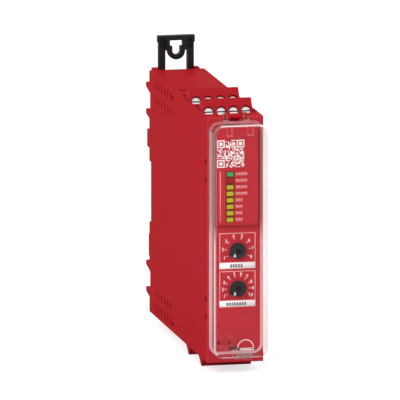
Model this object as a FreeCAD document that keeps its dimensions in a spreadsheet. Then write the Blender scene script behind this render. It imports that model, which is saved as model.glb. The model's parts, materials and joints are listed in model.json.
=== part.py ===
"""Safety relay for a 35 mm rail: a red 22.5 mm module with pull-out terminal blocks,
two selector dials behind a clear hinged cover, and a black rail latch.

Frame: X across the module, +Y towards the rail, +Z up. The origin is at the middle of the
rail seat, so the front face looks along -Y. "Front distance" means the distance in front
of the rail seat plane, which is -Y.
"""
import FreeCAD, Part
import os
import re
import Sketcher
from FreeCAD import Rotation, Vector

# name, millimetres (or degrees), what it is
SIZES = [
    ("module_width", 22.5, "overall width"),
    ("body_height", 98.5, "housing height"),
    ("body_depth", 110.5, "rail seat to front face"),
    ("side_wall", 1.0, "left and right wall"),
    ("top_wall", 1.6, "top and bottom wall"),
    ("rear_wall", 3.0, "rear wall behind the board space"),
    ("joint_gap", 0.2, "gap between fixed pieces"),
    ("run_gap", 0.3, "gap between moving pieces"),
    ("pin_fit", 0.05, "radial clearance of a turning or sliding pin"),
    # rail seat
    ("rail_width", 35.0, "rail over its flanges"),
    ("rail_flange", 5.0, "width of one rail flange"),
    ("rail_sheet", 1.0, "rail thickness"),
    ("rail_fit", 0.1, "rail clearance in the seat"),
    ("recess_depth", 3.2, "recess for the hat of the rail"),
    ("shoulder_reach", 4.2, "shoulder above the rail, behind the seat plane"),
    ("shoulder_height", 7.2, "height of the shoulder"),
    ("heel_reach", 1.3, "heel below the rail"),
    ("heel_height", 9.0, "height of the heel"),
    ("heel_width", 19.0, "width of the fixed lower hook"),
    ("heel_hook", 5.6, "height of the fixed hook below the rail"),
    ("hook_grip", 1.3, "how far the hooks reach over the flange edge"),
    ("relief_depth", 1.5, "shallow relief near the rear corners"),
    ("relief_start", 8.5, "corner to relief"),
    ("relief_height", 8.0, "height of the relief"),
    ("lug_reach", 6.4, "side lugs behind the seat plane"),
    ("lug_tip", 1.9, "thickness of a lug at its tip"),
    ("lug_root", 3.4, "thickness of a lug at its root"),
    ("lug_width", 1.6, "width of a lug"),
    ("lug_first", 5.7, "corner to the first lug"),
    ("lug_pitch", 10.9, "first lug to second lug"),
    # latch and its guide
    ("guide_width", 19.0, "guide block of the latch"),
    ("guide_reach", 4.2, "guide block behind the seat plane"),
    ("guide_rise", 0.4, "guide block above the housing top"),
    ("guide_lip", 1.2, "overlap of the guide lips on the latch"),
    ("latch_width", 14.4, "latch over its legs"),
    ("latch_thickness", 2.6, "latch slide"),
    ("latch_leg", 2.7, "width of one leg"),
    ("latch_rise", 13.7, "latch top above the housing top"),
    ("latch_head", 6.0, "height of the latch head"),
    ("latch_bar", 4.6, "height of the cross bar with the rail hook"),
    ("head_flare", 0.4, "flare of the latch head"),
    ("flare_height", 2.8, "height of the flare"),
    ("eye_drop", 6.2, "latch top to the screw eye"),
    ("eye_radius", 1.6, "screw eye"),
    ("eye_rim", 2.0, "ring round the screw eye"),
    ("eye_slot_width", 5.2, "cross slot above the eye"),
    ("eye_slot_height", 2.3, "cross slot above the eye"),
    ("eye_slot_drop", 2.0, "latch top to the cross slot"),
    ("pocket_width", 2.2, "pocket in the latch head"),
    ("pocket_height", 3.6, "pocket in the latch head"),
    ("pocket_depth", 1.2, "pocket in the latch head"),
    ("pocket_offset", 5.4, "centre to pocket"),
    ("spring_length", 13.0, "latch spring"),
    ("spring_radius", 1.2, "latch spring, middle of the wire"),
    ("spring_wire", 0.25, "radius of the spring wire"),
    ("spring_turns", 7.0, "turns of the latch spring"),
    ("stop_width", 7.2, "stop rib that the spring pushes on"),
    ("stop_height", 2.0, "stop rib that the spring pushes on"),
    # vents and small windows in the side walls
    ("vent_width", 1.4, "vent slot"),
    ("vent_pitch", 5.6, "vent slot spacing"),
    ("vent_start", 12.5, "rail seat to the first vent slot"),
    ("vent_tall", 3.8, "outer row of vents"),
    ("vent_short", 3.0, "inner row of vents"),
    ("vent_edge", 1.8, "housing edge to the outer row"),
    ("vent_rows", 2.6, "land between the rows"),
    ("vent_columns", 6, "number of vent slots in a row"),
    ("notch_setback", 4.1, "front face to the middle of the snap windows"),
    ("notch_width", 3.6, "snap window, front to back"),
    ("notch_height", 1.6, "snap window"),
    ("notch_outer", 4.8, "end of the snap rim to the outer windows"),
    ("notch_inner", 12.0, "end of the snap rim to the inner windows"),
    ("rear_notch_front", 44.8, "front distance of the rear snap windows"),
    ("rear_notch_drop", 3.5, "housing edge to the rear snap windows"),
    ("marker_front", 46.7, "front distance of the marker slot"),
    ("marker_width", 3.2, "marker slot in the top"),
    ("marker_length", 2.4, "marker slot in the top"),
    ("marker_offset", 7.7, "centre to marker slot"),
    # front plate, panel and indicators
    ("plate_thickness", 1.5, "front plate"),
    ("plate_edge", 0.8, "rounded edge of the front plate"),
    ("rim_depth", 4.4, "snap rim of the front plate"),
    ("rim_wall", 0.9, "snap rim of the front plate"),
    ("rim_inset", 13.25, "housing top to the end of the snap rim"),
    ("hook_reach", 0.3, "snap hook into its window"),
    ("panel_raise", 2.0, "indicator panel above the plate"),
    ("panel_width", 17.2, "indicator panel"),
    ("panel_drop", 3.25, "housing top to panel top"),
    ("panel_height", 39.8, "indicator panel"),
    ("panel_corner", 1.8, "corner of the panel"),
    ("lamp_width", 2.6, "light guide"),
    ("lamp_height", 1.6, "light guide"),
    ("lamp_pitch", 2.6, "light guide spacing"),
    ("lamp_drop", 19.2, "panel top to the first light guide"),
    ("lamp_offset", -2.75, "centre to the light guides"),
    ("lamp_count", 8, "number of indicators"),
    ("lamp_proud", 0.1, "light guide above the panel"),
    ("bezel_margin", 0.3, "bezel round the light guides"),
    ("led_width", 1.8, "indicator LED"),
    ("led_height", 1.2, "indicator LED"),
    ("led_depth", 0.8, "indicator LED"),
    # selector dials
    ("dial_x", 0.8, "centre to dials"),
    ("dial_drop", 10.35, "panel bottom to the upper dial"),
    ("dial_pitch", 15.3, "upper dial to lower dial"),
    ("dial_radius", 3.2, "dial"),
    ("dial_thickness", 1.3, "dial"),
    ("dial_tip", 4.2, "centre of the dial to the pointer tip"),
    ("dial_angle", 208.0, "pointer at the first mark"),
    ("dial_cross", 3.0, "cross recess length"),
    ("dial_cross_width", 0.7, "cross recess width"),
    ("dial_cross_depth", 0.6, "cross recess depth"),
    ("dial_shaft", 1.9, "dial shaft radius"),
    ("switch_width", 7.8, "rotary switch body"),
    ("switch_depth", 1.8, "rotary switch body"),
    # clear cover
    ("cover_width", 21.8, "clear cover"),
    ("cover_depth", 9.5, "clear cover"),
    ("cover_wall", 1.2, "clear cover"),
    ("cover_drop", 1.5, "housing top to cover top"),
    ("cover_lift", 3.4, "housing bottom to cover bottom"),
    ("cover_corner", 4.0, "corner of the cover"),
    ("cover_edge", 1.0, "rounded front edge of the cover"),
    ("hinge_setback", 6.7, "front face to the hinge axis"),
    ("hinge_drop", 2.1, "housing top to hinge axis"),
    ("hinge_eye", 1.5, "eye of a hinge arm"),
    ("hinge_pin", 0.7, "hinge pin radius"),
    ("hinge_pin_length", 1.2, "hinge pin in its cheek"),
    ("arm_offset", 4.15, "centre to hinge arm"),
    ("arm_width", 2.0, "hinge arm"),
    ("arm_rise", 1.4, "crest of a hinge arm above the housing top"),
    ("arm_crest", 4.6, "hinge axis to the crest of the arm"),
    ("arm_flat", 1.0, "flat top of the crest"),
    ("arm_thickness", 1.7, "hinge arm"),
    ("arm_foot", 3.6, "hinge arm on the cover top"),
    ("rib_drop", 3.4, "rib inside the cover top"),
    ("rib_depth", 2.2, "rib inside the cover top"),
    ("recess_drop", 4.3, "depth of the hinge recess"),
    ("recess_floor", 1.0, "floor of the hinge recess"),
    ("roof_thickness", 0.8, "roof of the recess between the arms"),
    ("roof_setback", 2.4, "front face to the roof between the arms"),
    ("web_thickness", 1.0, "wall that carries the roof"),
    ("cheek_width", 1.6, "cheek that holds a hinge pin"),
    ("grip_width", 6.8, "finger grip of the cover"),
    ("grip_offset", 1.4, "centre to finger grip"),
    ("grip_drop", 0.6, "finger grip below the cover"),
    ("grip_depth", 6.5, "finger grip along the cover"),
    ("grip_ribs", 6, "number of ribs on the finger grip"),
    ("grip_rib_width", 0.6, "rib of the finger grip"),
    ("grip_rib_height", 1.9, "rib of the finger grip"),
    ("grip_rib_lift", 0.5, "cover bottom to the ribs"),
    ("grip_rib_proud", 0.3, "rib in front of the cover"),
    ("tongue_width", 3.0, "snap tongue of the cover"),
    ("tongue_offset", -0.4, "centre to snap tongue"),
    ("tongue_height", 1.0, "snap tongue"),
    ("tongue_lift", 1.6, "cover bottom to snap tongue"),
    ("tongue_reach", 1.6, "snap tongue into the plate"),
    ("seal_width", 2.8, "seal boss at its foot"),
    ("seal_top", 1.6, "seal boss at its top"),
    ("seal_height", 4.7, "seal boss"),
    ("seal_lift", 3.3, "cover bottom to seal boss"),
    ("seal_hole", 0.6, "seal wire hole radius"),
    ("seal_hole_lift", 1.4, "seal boss foot to seal hole"),
    ("seal_first", -6.8, "centre to the first seal boss"),
    ("seal_pitch", 4.1, "first to second seal boss"),
    # pull-out terminal blocks
    ("block_tilt", 34.5, "lean of the blocks, degrees"),
    ("block_width", 20.1, "terminal block"),
    ("block_thickness", 12.0, "terminal block along the screws"),
    ("block_length", 15.0, "terminal block along the wires"),
    ("block_rise", 4.5, "block edge above the housing"),
    ("block_setback", 17.9, "front face to the front block's edge"),
    ("tier_pitch", 23.6, "rear block to front block"),
    ("window_front", 9.4, "block edge to the front of its opening"),
    ("pole_pitch", 5.0, "terminal spacing"),
    ("pole_count", 4, "number of terminals in a block"),
    ("screw_drop", 5.4, "block edge to screw"),
    ("screw_head", 1.75, "terminal screw head radius"),
    ("screw_head_height", 1.4, "terminal screw head"),
    ("screw_recess", 1.0, "screw head below the face"),
    ("screw_shank", 1.2, "terminal screw shank radius"),
    ("screw_length", 6.8, "block face to screw end"),
    ("screw_slot", 0.55, "driver slot width"),
    ("screw_slot_depth", 0.7, "driver slot depth"),
    ("screw_hole", 2.05, "screw hole radius"),
    ("wire_width", 3.8, "wire entry across"),
    ("wire_start", 4.6, "block face to wire entry"),
    ("wire_depth", 5.4, "wire entry along the screws"),
    ("wire_length", 7.6, "wire entry into the block"),
    ("mouth_margin", 0.3, "wider mouth of a wire entry"),
    ("mouth_depth", 0.6, "wider mouth of a wire entry"),
    ("clamp_wall", 0.9, "wire clamp wall that the screw passes"),
    ("clamp_side", 0.45, "wire clamp side wall"),
    ("clamp_height", 4.0, "wire clamp along the wire"),
    ("contact_width", 2.2, "plug contact"),
    ("contact_depth", 2.2, "plug contact"),
    ("contact_gap", 0.2, "contact in its cavity"),
    ("contact_end", 0.6, "block end to contact"),
    ("pin_side", 0.8, "header pin"),
    ("pin_slot_fit", 0.05, "header pin in its contact"),
    ("pin_insert", 6.0, "header pin in the block"),
    ("pin_tail", 8.0, "shortest header pin tail"),
    ("pin_step", 1.6, "next header pin tail is longer"),
    ("header_floor", 1.5, "header base"),
    ("header_back", 1.0, "header back wall"),
    ("header_rise", 5.0, "header back wall"),
    # boards and what they carry
    ("board_thickness", 1.6, "main board"),
    ("board_gap", 0.6, "left wall to main board"),
    ("board_inset", 18.25, "housing top to main board"),
    ("board_start", 6.0, "rail seat to main board"),
    ("board_setback", 6.1, "front face to main board"),
    ("post_radius", 1.6, "board post"),
    ("post_inset", 5.0, "board edge to post"),
    ("peg_rear", 8.0, "front distance of the rear side cover pegs"),
    ("peg_front", 50.0, "front distance of the front side cover pegs"),
    ("peg_length", 5.0, "side cover peg"),
    ("front_board_gap", 0.8, "main board to front board"),
    ("front_board_thickness", 1.6, "front board"),
    ("front_board_above", 3.7, "front board above the first light guide"),
    ("front_board_below", 6.55, "front board below the lower dial"),
    ("front_board_width", 17.6, "front board"),
    ("relay_width", 13.0, "internal relay across"),
    ("relay_depth", 28.0, "internal relay front to back"),
    ("relay_height", 24.0, "internal relay"),
    ("relay_start", 12.0, "rail seat to internal relays"),
    ("relay_split", 3.0, "mid-height to each relay"),
    ("coil_width", 14.0, "transformer across"),
    ("coil_depth", 20.0, "transformer"),
    ("coil_height", 18.0, "transformer"),
    ("coil_start", 46.0, "rail seat to transformer"),
    ("coil_drop", 24.0, "mid-height to transformer bottom"),
    ("coil_flange", 1.2, "flange of the transformer bobbin"),
    ("coil_inset", 1.6, "winding inside the flanges"),
    ("can_radius", 5.0, "capacitor"),
    ("can_length", 14.0, "capacitor"),
    ("can_pitch", 12.0, "capacitor spacing"),
    ("can_start", 52.0, "rail seat to first capacitor"),
    ("can_rise", 14.0, "mid-height to capacitors"),
    ("chip_side", 9.0, "processor"),
    ("chip_height", 1.4, "processor"),
    ("chip_setback", 28.5, "front face to processors"),
    ("chip_rise", 12.0, "mid-height to each processor"),
    ("link_pins", 6, "number of pins between the boards"),
]
SIZE_NAMES = {name for name, value, note in SIZES}

doc = FreeCAD.newDocument("safety_relay")
dims = doc.addObject("Spreadsheet::Sheet", "dims")
for row, (name, value, note) in enumerate(SIZES, start=1):
    dims.set(f"A{row}", note)
    dims.set(f"B{row}", str(value))
    dims.setAlias(f"B{row}", name)
doc.recompute()

# Places that several pieces share, as formulas of the sizes above.
HALF_WIDTH = "(module_width / 2)"
TOP = "(body_height / 2)"
INNER = "(module_width / 2 - side_wall)"
PLATE_BACK = "(body_depth - plate_thickness)"
PANEL_FRONT = "(body_depth + panel_raise)"
RAIL_EDGE = "(rail_width / 2)"
RAIL_INNER = "(rail_width / 2 - rail_flange)"
COVER_BACK = "(body_depth + run_gap)"
COVER_FRONT = "(body_depth + run_gap + cover_depth)"
COVER_TOP = "(body_height / 2 - cover_drop)"
COVER_BOTTOM = "(cover_lift - body_height / 2)"
HINGE_FRONT = "(body_depth - hinge_setback)"
HINGE_Z = "(body_height / 2 - hinge_drop)"
RECESS_HALF = "(arm_offset + arm_width / 2 + run_gap)"
RECESS_BACK = f"({HINGE_FRONT} - hinge_eye - run_gap)"
BOARD_LEFT = "(side_wall + board_gap - module_width / 2)"
BOARD_FACE = "(side_wall + board_gap + board_thickness - module_width / 2)"
BOARD_HALF = "(body_height / 2 - board_inset)"
BOARD_END = "(body_depth - board_setback)"
FRONT_BOARD_FACE = f"({BOARD_END} + front_board_gap + front_board_thickness)"
RIM_HALF = "(body_height / 2 - rim_inset)"
NOTCH_FRONT = "(body_depth - notch_setback)"
PANEL_TOP = "(body_height / 2 - panel_drop)"
PANEL_BOTTOM = f"({PANEL_TOP} - panel_height)"
LAMP_FIRST = f"({PANEL_TOP} - lamp_drop)"
DIAL_UPPER = f"({PANEL_BOTTOM} - dial_drop)"
DIAL_LOWER = f"({DIAL_UPPER} - dial_pitch)"
LATCH_TOP = "(body_height / 2 + latch_rise)"
HOOK_TIP = "(rail_width / 2 - hook_grip)"


def formula(text):
    """Point every size name in a formula at the sheet."""
    return re.sub(r"[a-z][a-z_]*", lambda m: "dims." + m[0] if m[0] in SIZE_NAMES else m[0], str(text))


def size(text):
    """The value of a formula now, for what has to be chosen in code."""
    return float(dims.evalExpression(str(text)))


def count(name):
    """A whole number from the sheet."""
    return int(size(name))


def front(near, far):
    """A Y span from two front distances."""
    return f"-({far})", f"-({near})"


def about(centre, width):
    """A span about a centre."""
    return f"({centre}) - ({width}) / 2", f"({centre}) + ({width}) / 2"


def bind(thing, **formulas):
    """Bind properties of an object to formulas; a double underscore stands for a dot."""
    for name, text in formulas.items():
        thing.setExpression(name.replace("__", "."), formula(text))


def box(name, x, y, z):
    """A block between two formulas on each axis."""
    solid = doc.addObject("Part::Box", name)
    bind(solid, Length=f"({x[1]}) - ({x[0]})", Width=f"({y[1]}) - ({y[0]})", Height=f"({z[1]}) - ({z[0]})")
    bind(solid, Placement__Base__x=x[0], Placement__Base__y=y[0], Placement__Base__z=z[0])
    return solid


TURNS = {"x": Rotation(Vector(0, 1, 0), 90), "y": Rotation(Vector(1, 0, 0), -90), "z": Rotation()}


def rod(name, axis, centre, radius, span):
    """A cylinder along an axis: centre gives the other two places in X, Y, Z order."""
    solid = doc.addObject("Part::Cylinder", name)
    solid.Placement.Rotation = TURNS[axis]
    bind(solid, Radius=radius, Height=f"({span[1]}) - ({span[0]})")
    places = dict(zip([other for other in "xyz" if other != axis], centre))
    places[axis] = span[0]
    bind(solid, **{f"Placement__Base__{key}": text for key, text in places.items()})
    return solid


def prism(name, plane, points, span):
    """A straight-sided body on an origin plane: "YZ" takes (y, z) points and an X span,
    "XZ" takes (x, z) points and a span of front distances."""
    body = doc.addObject("PartDesign::Body", name)
    sketch = body.newObject("Sketcher::SketchObject", name + "_sketch")
    origin_plane = [item for item in body.Origin.OriginFeatures if item.Role == plane + "_Plane"][0]
    sketch.AttachmentSupport = [(origin_plane, "")]
    sketch.MapMode = "FlatFace"
    bind(sketch, AttachmentOffset__Base__z=span[0])
    corners = [Vector(size(across), size(up), 0) for across, up in points]
    for index, corner in enumerate(corners):
        following = corners[(index + 1) % len(corners)]
        sketch.addGeometry(Part.LineSegment(corner, following), False)
    for index in range(len(corners)):
        sketch.addConstraint(Sketcher.Constraint("Coincident", index, 2, (index + 1) % len(corners), 1))
    for index, (across, up) in enumerate(points):
        for kind, text, value in (("DistanceX", across, corners[index].x), ("DistanceY", up, corners[index].y)):
            number = sketch.addConstraint(Sketcher.Constraint(kind, -1, 1, index, 1, value))
            sketch.setExpression(f"Constraints[{number}]", formula(text))
    pad = body.newObject("PartDesign::Pad", name + "_pad")
    pad.Profile = sketch
    bind(pad, Length=f"({span[1]}) - ({span[0]})")
    doc.recompute()
    return body


def rounded(body, name, radius, pick):
    """Round the edges of a body that the pick function chooses."""
    tip = body.Tip
    edges = [f"Edge{n}" for n, edge in enumerate(tip.Shape.Edges, start=1) if pick(edge)]
    fillet = body.newObject("PartDesign::Fillet", name)
    fillet.Base = (tip, edges)
    bind(fillet, Radius=radius)
    body.Tip = fillet
    doc.recompute()
    return body


def join(name, pieces):
    """One solid out of pieces that touch."""
    solid = doc.addObject("Part::MultiFuse", name)
    solid.Shapes = pieces
    return solid


def cut(name, base, tools):
    """A piece with tools taken away."""
    solid = doc.addObject("Part::Cut", name)
    solid.Base = base
    solid.Tool = tools[0] if len(tools) == 1 else join(name + "_tools", tools)
    return solid


def group(name, pieces):
    """Identical loose solids in one node."""
    solids = doc.addObject("Part::Compound", name)
    solids.Links = pieces
    return solids


NODES = []


def node(piece, label):
    """Name a finished piece: the label is the name of its file."""
    piece.Label = label
    NODES.append(piece)
    return piece


def edge_along(edge, axis):
    """Whether an edge is straight and runs along an axis vector."""
    if edge.Curve.TypeId != "Part::GeomLine":
        return False
    return abs(abs(edge.tangentAt(edge.FirstParameter).dot(axis)) - 1) < 1e-6


# ---------------------------------------------------------------- housing
def mirrored(points):
    """Points of a profile and their mirror images below mid-height, in order."""
    return points + [(across, f"-({up})") for across, up in reversed(points)]


def vent_slots(name, x):
    """Two rows of upright slots near the top rear corner and two near the bottom one."""
    slots = []
    for side in (1, -1):
        edge = f"{side} * {TOP}"
        rows = (("vent_edge", "vent_edge + vent_tall"),
                ("vent_edge + vent_tall + vent_rows", "vent_edge + vent_tall + vent_rows + vent_short"))
        for row, (start, end) in enumerate(rows):
            low, high = (f"{edge} - ({end})", f"{edge} - ({start})")
            if side < 0:
                low, high = (f"{edge} + {start}", f"{edge} + {end}")
            for column in range(count("vent_columns")):
                middle = f"vent_start + {column} * vent_pitch"
                tag = f"{name}_vent_{'upper' if side > 0 else 'lower'}_{row}_{column}"
                slots.append(box(tag, x, front(*about(middle, "vent_width")), (low, high)))
    return slots


NOTCHES = (f"({RIM_HALF} - notch_outer)", f"({RIM_HALF} - notch_inner)",
           f"(notch_inner - {RIM_HALF})", f"(notch_outer - {RIM_HALF})")


def snap_windows(name, x):
    """Four small windows near the front edge, for the hooks of the front plate."""
    windows = []
    for index, place in enumerate(NOTCHES):
        span = front(*about(NOTCH_FRONT, "notch_width"))
        windows.append(box(f"{name}_window_{index}", x, span, about(place, "notch_height")))
    return windows


def rear_profile():
    """The side view of the rear wall, from the top corner down, as (y, z) points."""
    return [
        ("0", TOP),
        ("0", f"{TOP} - relief_start"),
        ("-relief_depth", f"{TOP} - relief_start"),
        ("-relief_depth", f"{TOP} - relief_start - relief_height"),
        ("0", f"{TOP} - relief_start - relief_height"),
        ("0", f"{RAIL_EDGE} + rail_fit + shoulder_height"),
        ("shoulder_reach", f"{RAIL_EDGE} + rail_fit + shoulder_height"),
        ("shoulder_reach", f"{RAIL_EDGE} + rail_fit"),
        ("0", f"{RAIL_EDGE} + rail_fit"),
        ("0", f"{RAIL_INNER} - rail_fit"),
        ("-recess_depth", f"{RAIL_INNER} - rail_fit"),
        ("-recess_depth", f"-({RAIL_INNER} - rail_fit)"),
        ("0", f"-({RAIL_INNER} - rail_fit)"),
        ("0", f"-({RAIL_EDGE} + rail_fit)"),
        ("heel_reach", f"-({RAIL_EDGE} + rail_fit)"),
        ("heel_reach", f"-({RAIL_EDGE} + rail_fit + heel_height)"),
        ("0", f"-({RAIL_EDGE} + rail_fit + heel_height)"),
        ("0", f"relief_start + relief_height - {TOP}"),
        ("-relief_depth", f"relief_start + relief_height - {TOP}"),
        ("-relief_depth", f"relief_start - {TOP}"),
        ("0", f"relief_start - {TOP}"),
        ("0", f"-{TOP}"),
    ]


def housing_shell():
    """Tray with the left wall: top, bottom and rear walls, rail seat, latch guide, openings."""
    span = (f"-{HALF_WIDTH}", INNER)
    outer = prism("housing_outline", "YZ", rear_profile() + [
        (f"-{PLATE_BACK}", f"-{TOP}"),
        (f"-{PLATE_BACK}", TOP),
    ], span)
    step = f"({RAIL_INNER} + rear_wall)"
    inside = prism("housing_space", "YZ", mirrored([
        (f"-{PLATE_BACK} - 1", f"{TOP} - top_wall"),
        ("-rear_wall", f"{TOP} - top_wall"),
        ("-rear_wall", step),
        ("-(recess_depth + top_wall)", step),
    ]), (f"-{INNER}", f"{INNER} + 1"))
    channel_half = "(latch_width / 2 + run_gap)"
    guide_span = ("0", "guide_reach")
    guide_height = (f"{RAIL_EDGE} + rail_fit", f"{TOP} + guide_rise")
    guide = box("guide_block", about("0", "guide_width"), guide_span, guide_height)
    slide_depth = "(2 * run_gap + latch_thickness)"
    tall = (f"{RAIL_EDGE} + rail_fit - 1", f"{TOP} + guide_rise + 1")
    guide_tools = [
        box("guide_channel", (f"-{channel_half}", channel_half), ("0", slide_depth), tall),
        box("guide_mouth", about("0", "latch_width - 2 * guide_lip"), ("0", "guide_reach + 1"), tall),
    ]
    stop_low = f"{HOOK_TIP} + latch_bar + spring_length"
    stop_span = (stop_low, f"{stop_low} + stop_height")
    added = [
        box("spring_stop", about("0", "stop_width"), ("-rear_wall", slide_depth), stop_span),
        box("hook_block", about("0", "heel_width"), ("0", "guide_reach"),
            (f"-({RAIL_EDGE} + rail_fit + heel_hook)", f"-({RAIL_EDGE} + rail_fit)")),
        box("hook_lip", about("0", "heel_width"), ("rail_sheet + run_gap", "guide_reach"),
            (f"-({RAIL_EDGE} + rail_fit)", f"-{HOOK_TIP}")),
    ]
    added += side_lugs()
    added += board_posts()
    added += hinge_pocket()
    shell = cut("housing_hollow", outer, [inside] + guide_tools)
    guide_cut = cut("guide_cut", guide, guide_tools)
    whole = join("housing_whole", [shell, guide_cut] + added)
    wall = (f"-{HALF_WIDTH} - 1", f"-{INNER} + joint_gap")
    openings = vent_slots("left", wall) + snap_windows("left", wall)
    openings += block_openings() + hinge_openings("shell") + [hinge_hole()]
    openings += [
        box("marker_slot", about("-marker_offset", "marker_width"),
            front(*about("marker_front", "marker_length")), (f"{TOP} - top_wall - 1", f"{TOP} + 1")),
    ]
    for side in (-1, 1):
        openings.append(box(f"rear_window_{side + 1}", wall, front(*about("rear_notch_front", "notch_width")),
                            about(f"{side} * ({TOP} - rear_notch_drop)", "notch_height")))
    return node(cut("housing_shell", whole, openings), "housing_shell")


def side_lugs():
    """Small wedges on both rear edges, two above and two below the rail."""
    lugs = []
    for side in (-1, 1):
        inner_face = f"{side} * ({INNER} - lug_width)" if side > 0 else f"-{INNER} + lug_width"
        outer_face = f"{INNER}" if side > 0 else f"-{HALF_WIDTH}"
        span = (inner_face, outer_face) if side > 0 else (outer_face, inner_face)
        for level in range(4):
            drop = f"lug_first + {level % 2} * lug_pitch"
            place = f"{TOP} - ({drop})" if level < 2 else f"{drop} + lug_root - {TOP}"
            corners = [("-relief_depth", place), ("lug_reach", place),
                       ("lug_reach", f"{place} - lug_tip"), ("-relief_depth", f"{place} - lug_root")]
            lugs.append(prism(f"lug_{'left' if side < 0 else 'right'}_{level}", "YZ", corners, span))
    return lugs


def board_posts():
    """Posts on the left wall that carry the main board."""
    posts = []
    for row in (1, -1):
        for column, place in enumerate(("board_start + post_inset", f"{BOARD_END} - post_inset")):
            centre = (f"-({place})", f"{row} * ({BOARD_HALF} - post_inset)")
            posts.append(rod(f"board_post_{row + 1}_{column}", "x", centre, "post_radius",
                             (f"-{INNER} - side_wall / 2", BOARD_LEFT)))
    return posts


def hinge_pocket():
    """Block under the top wall at the front, which the hinge recess is cut into."""
    width = f"2 * ({RECESS_HALF} + cheek_width)"
    low = f"{TOP} - recess_drop - recess_floor"
    return [box("hinge_block", about("0", width), front(RECESS_BACK, PLATE_BACK),
                (low, f"{TOP} - top_wall / 2"))]


def hinge_openings(name):
    """The hinge recess: a slot for each arm, and between them a space with a web behind it and
    a roof that stops short of the front face."""
    low = f"{TOP} - recess_drop"
    deep = front(f"{RECESS_BACK} - 1", "body_depth + 1")
    openings = []
    for side in (-1, 1):
        openings.append(box(f"{name}_arm_slot_{side + 1}", about(f"{side} * arm_offset", "arm_width + 2 * run_gap"),
                            deep, (low, f"{TOP} + 1")))
    between = ("-arm_offset", "arm_offset")
    openings.append(box(f"{name}_recess", between, front(f"{RECESS_BACK} + web_thickness", "body_depth + 1"),
                        (low, f"{TOP} - roof_thickness")))
    openings.append(box(f"{name}_recess_mouth", between, front("body_depth - roof_setback", "body_depth + 1"),
                        (low, f"{TOP} + 1")))
    return openings


def hinge_hole():
    """The hole through both cheeks for the cover's pins."""
    reach = f"({RECESS_HALF} + hinge_pin_length + run_gap)"
    return rod("hinge_hole", "x", (f"-{HINGE_FRONT}", HINGE_Z), "hinge_pin + pin_fit", (f"-{reach}", reach))


# name, side (1 is the top), front distance of the block's outer edge
FRONT_TIER = "(body_depth - block_setback)"
REAR_TIER = "(body_depth - block_setback - tier_pitch)"
TIERS = (("top_rear", 1, REAR_TIER), ("top_front", 1, FRONT_TIER),
         ("bottom_rear", -1, REAR_TIER), ("bottom_front", -1, FRONT_TIER))


def block_openings():
    """One opening in the top or bottom wall for each terminal block."""
    openings = []
    for name, side, edge in TIERS:
        near = f"{edge} - (block_thickness + run_gap) / cos(block_tilt) + block_rise * tan(block_tilt)"
        far = f"{edge} + window_front"
        outside = f"{side} * ({TOP} + 1)"
        inside = f"{side} * ({TOP} - top_wall - 1)"
        span = (inside, outside) if side > 0 else (outside, inside)
        openings.append(box(f"opening_{name}", (f"-{INNER}", f"{INNER} + 1"), front(near, far), span))
    return openings


def side_cover():
    """Right side wall: a flat plate with vents and snap windows."""
    plate = box("side_plate", (INNER, HALF_WIDTH), front("0", PLATE_BACK), (f"-{TOP}", TOP))
    wall = (f"{INNER} - joint_gap", f"{HALF_WIDTH} + 1")
    pegs = []
    for row in (1, -1):
        for column, place in enumerate(("peg_rear", "peg_front")):
            centre = (f"-({place})", f"{row} * ({TOP} - top_wall - post_radius)")
            pegs.append(rod(f"cover_peg_{row + 1}_{column}", "x", centre, "post_radius",
                            (f"{INNER} - peg_length", f"{INNER} + side_wall / 2")))
    reliefs = [
        box("side_recess", wall, ("-recess_depth", "1"), (f"-({RAIL_INNER} - rail_fit)", f"{RAIL_INNER} - rail_fit")),
        box("side_relief_top", wall, ("-relief_depth", "1"),
            (f"{TOP} - relief_start - relief_height", f"{TOP} - relief_start")),
        box("side_relief_bottom", wall, ("-relief_depth", "1"),
            (f"relief_start - {TOP}", f"relief_start + relief_height - {TOP}")),
    ]
    whole = join("side_whole", [plate] + pegs)
    tools = vent_slots("right", wall) + snap_windows("right", wall) + reliefs
    return node(cut("side_cover", whole, tools), "side_cover")


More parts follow.
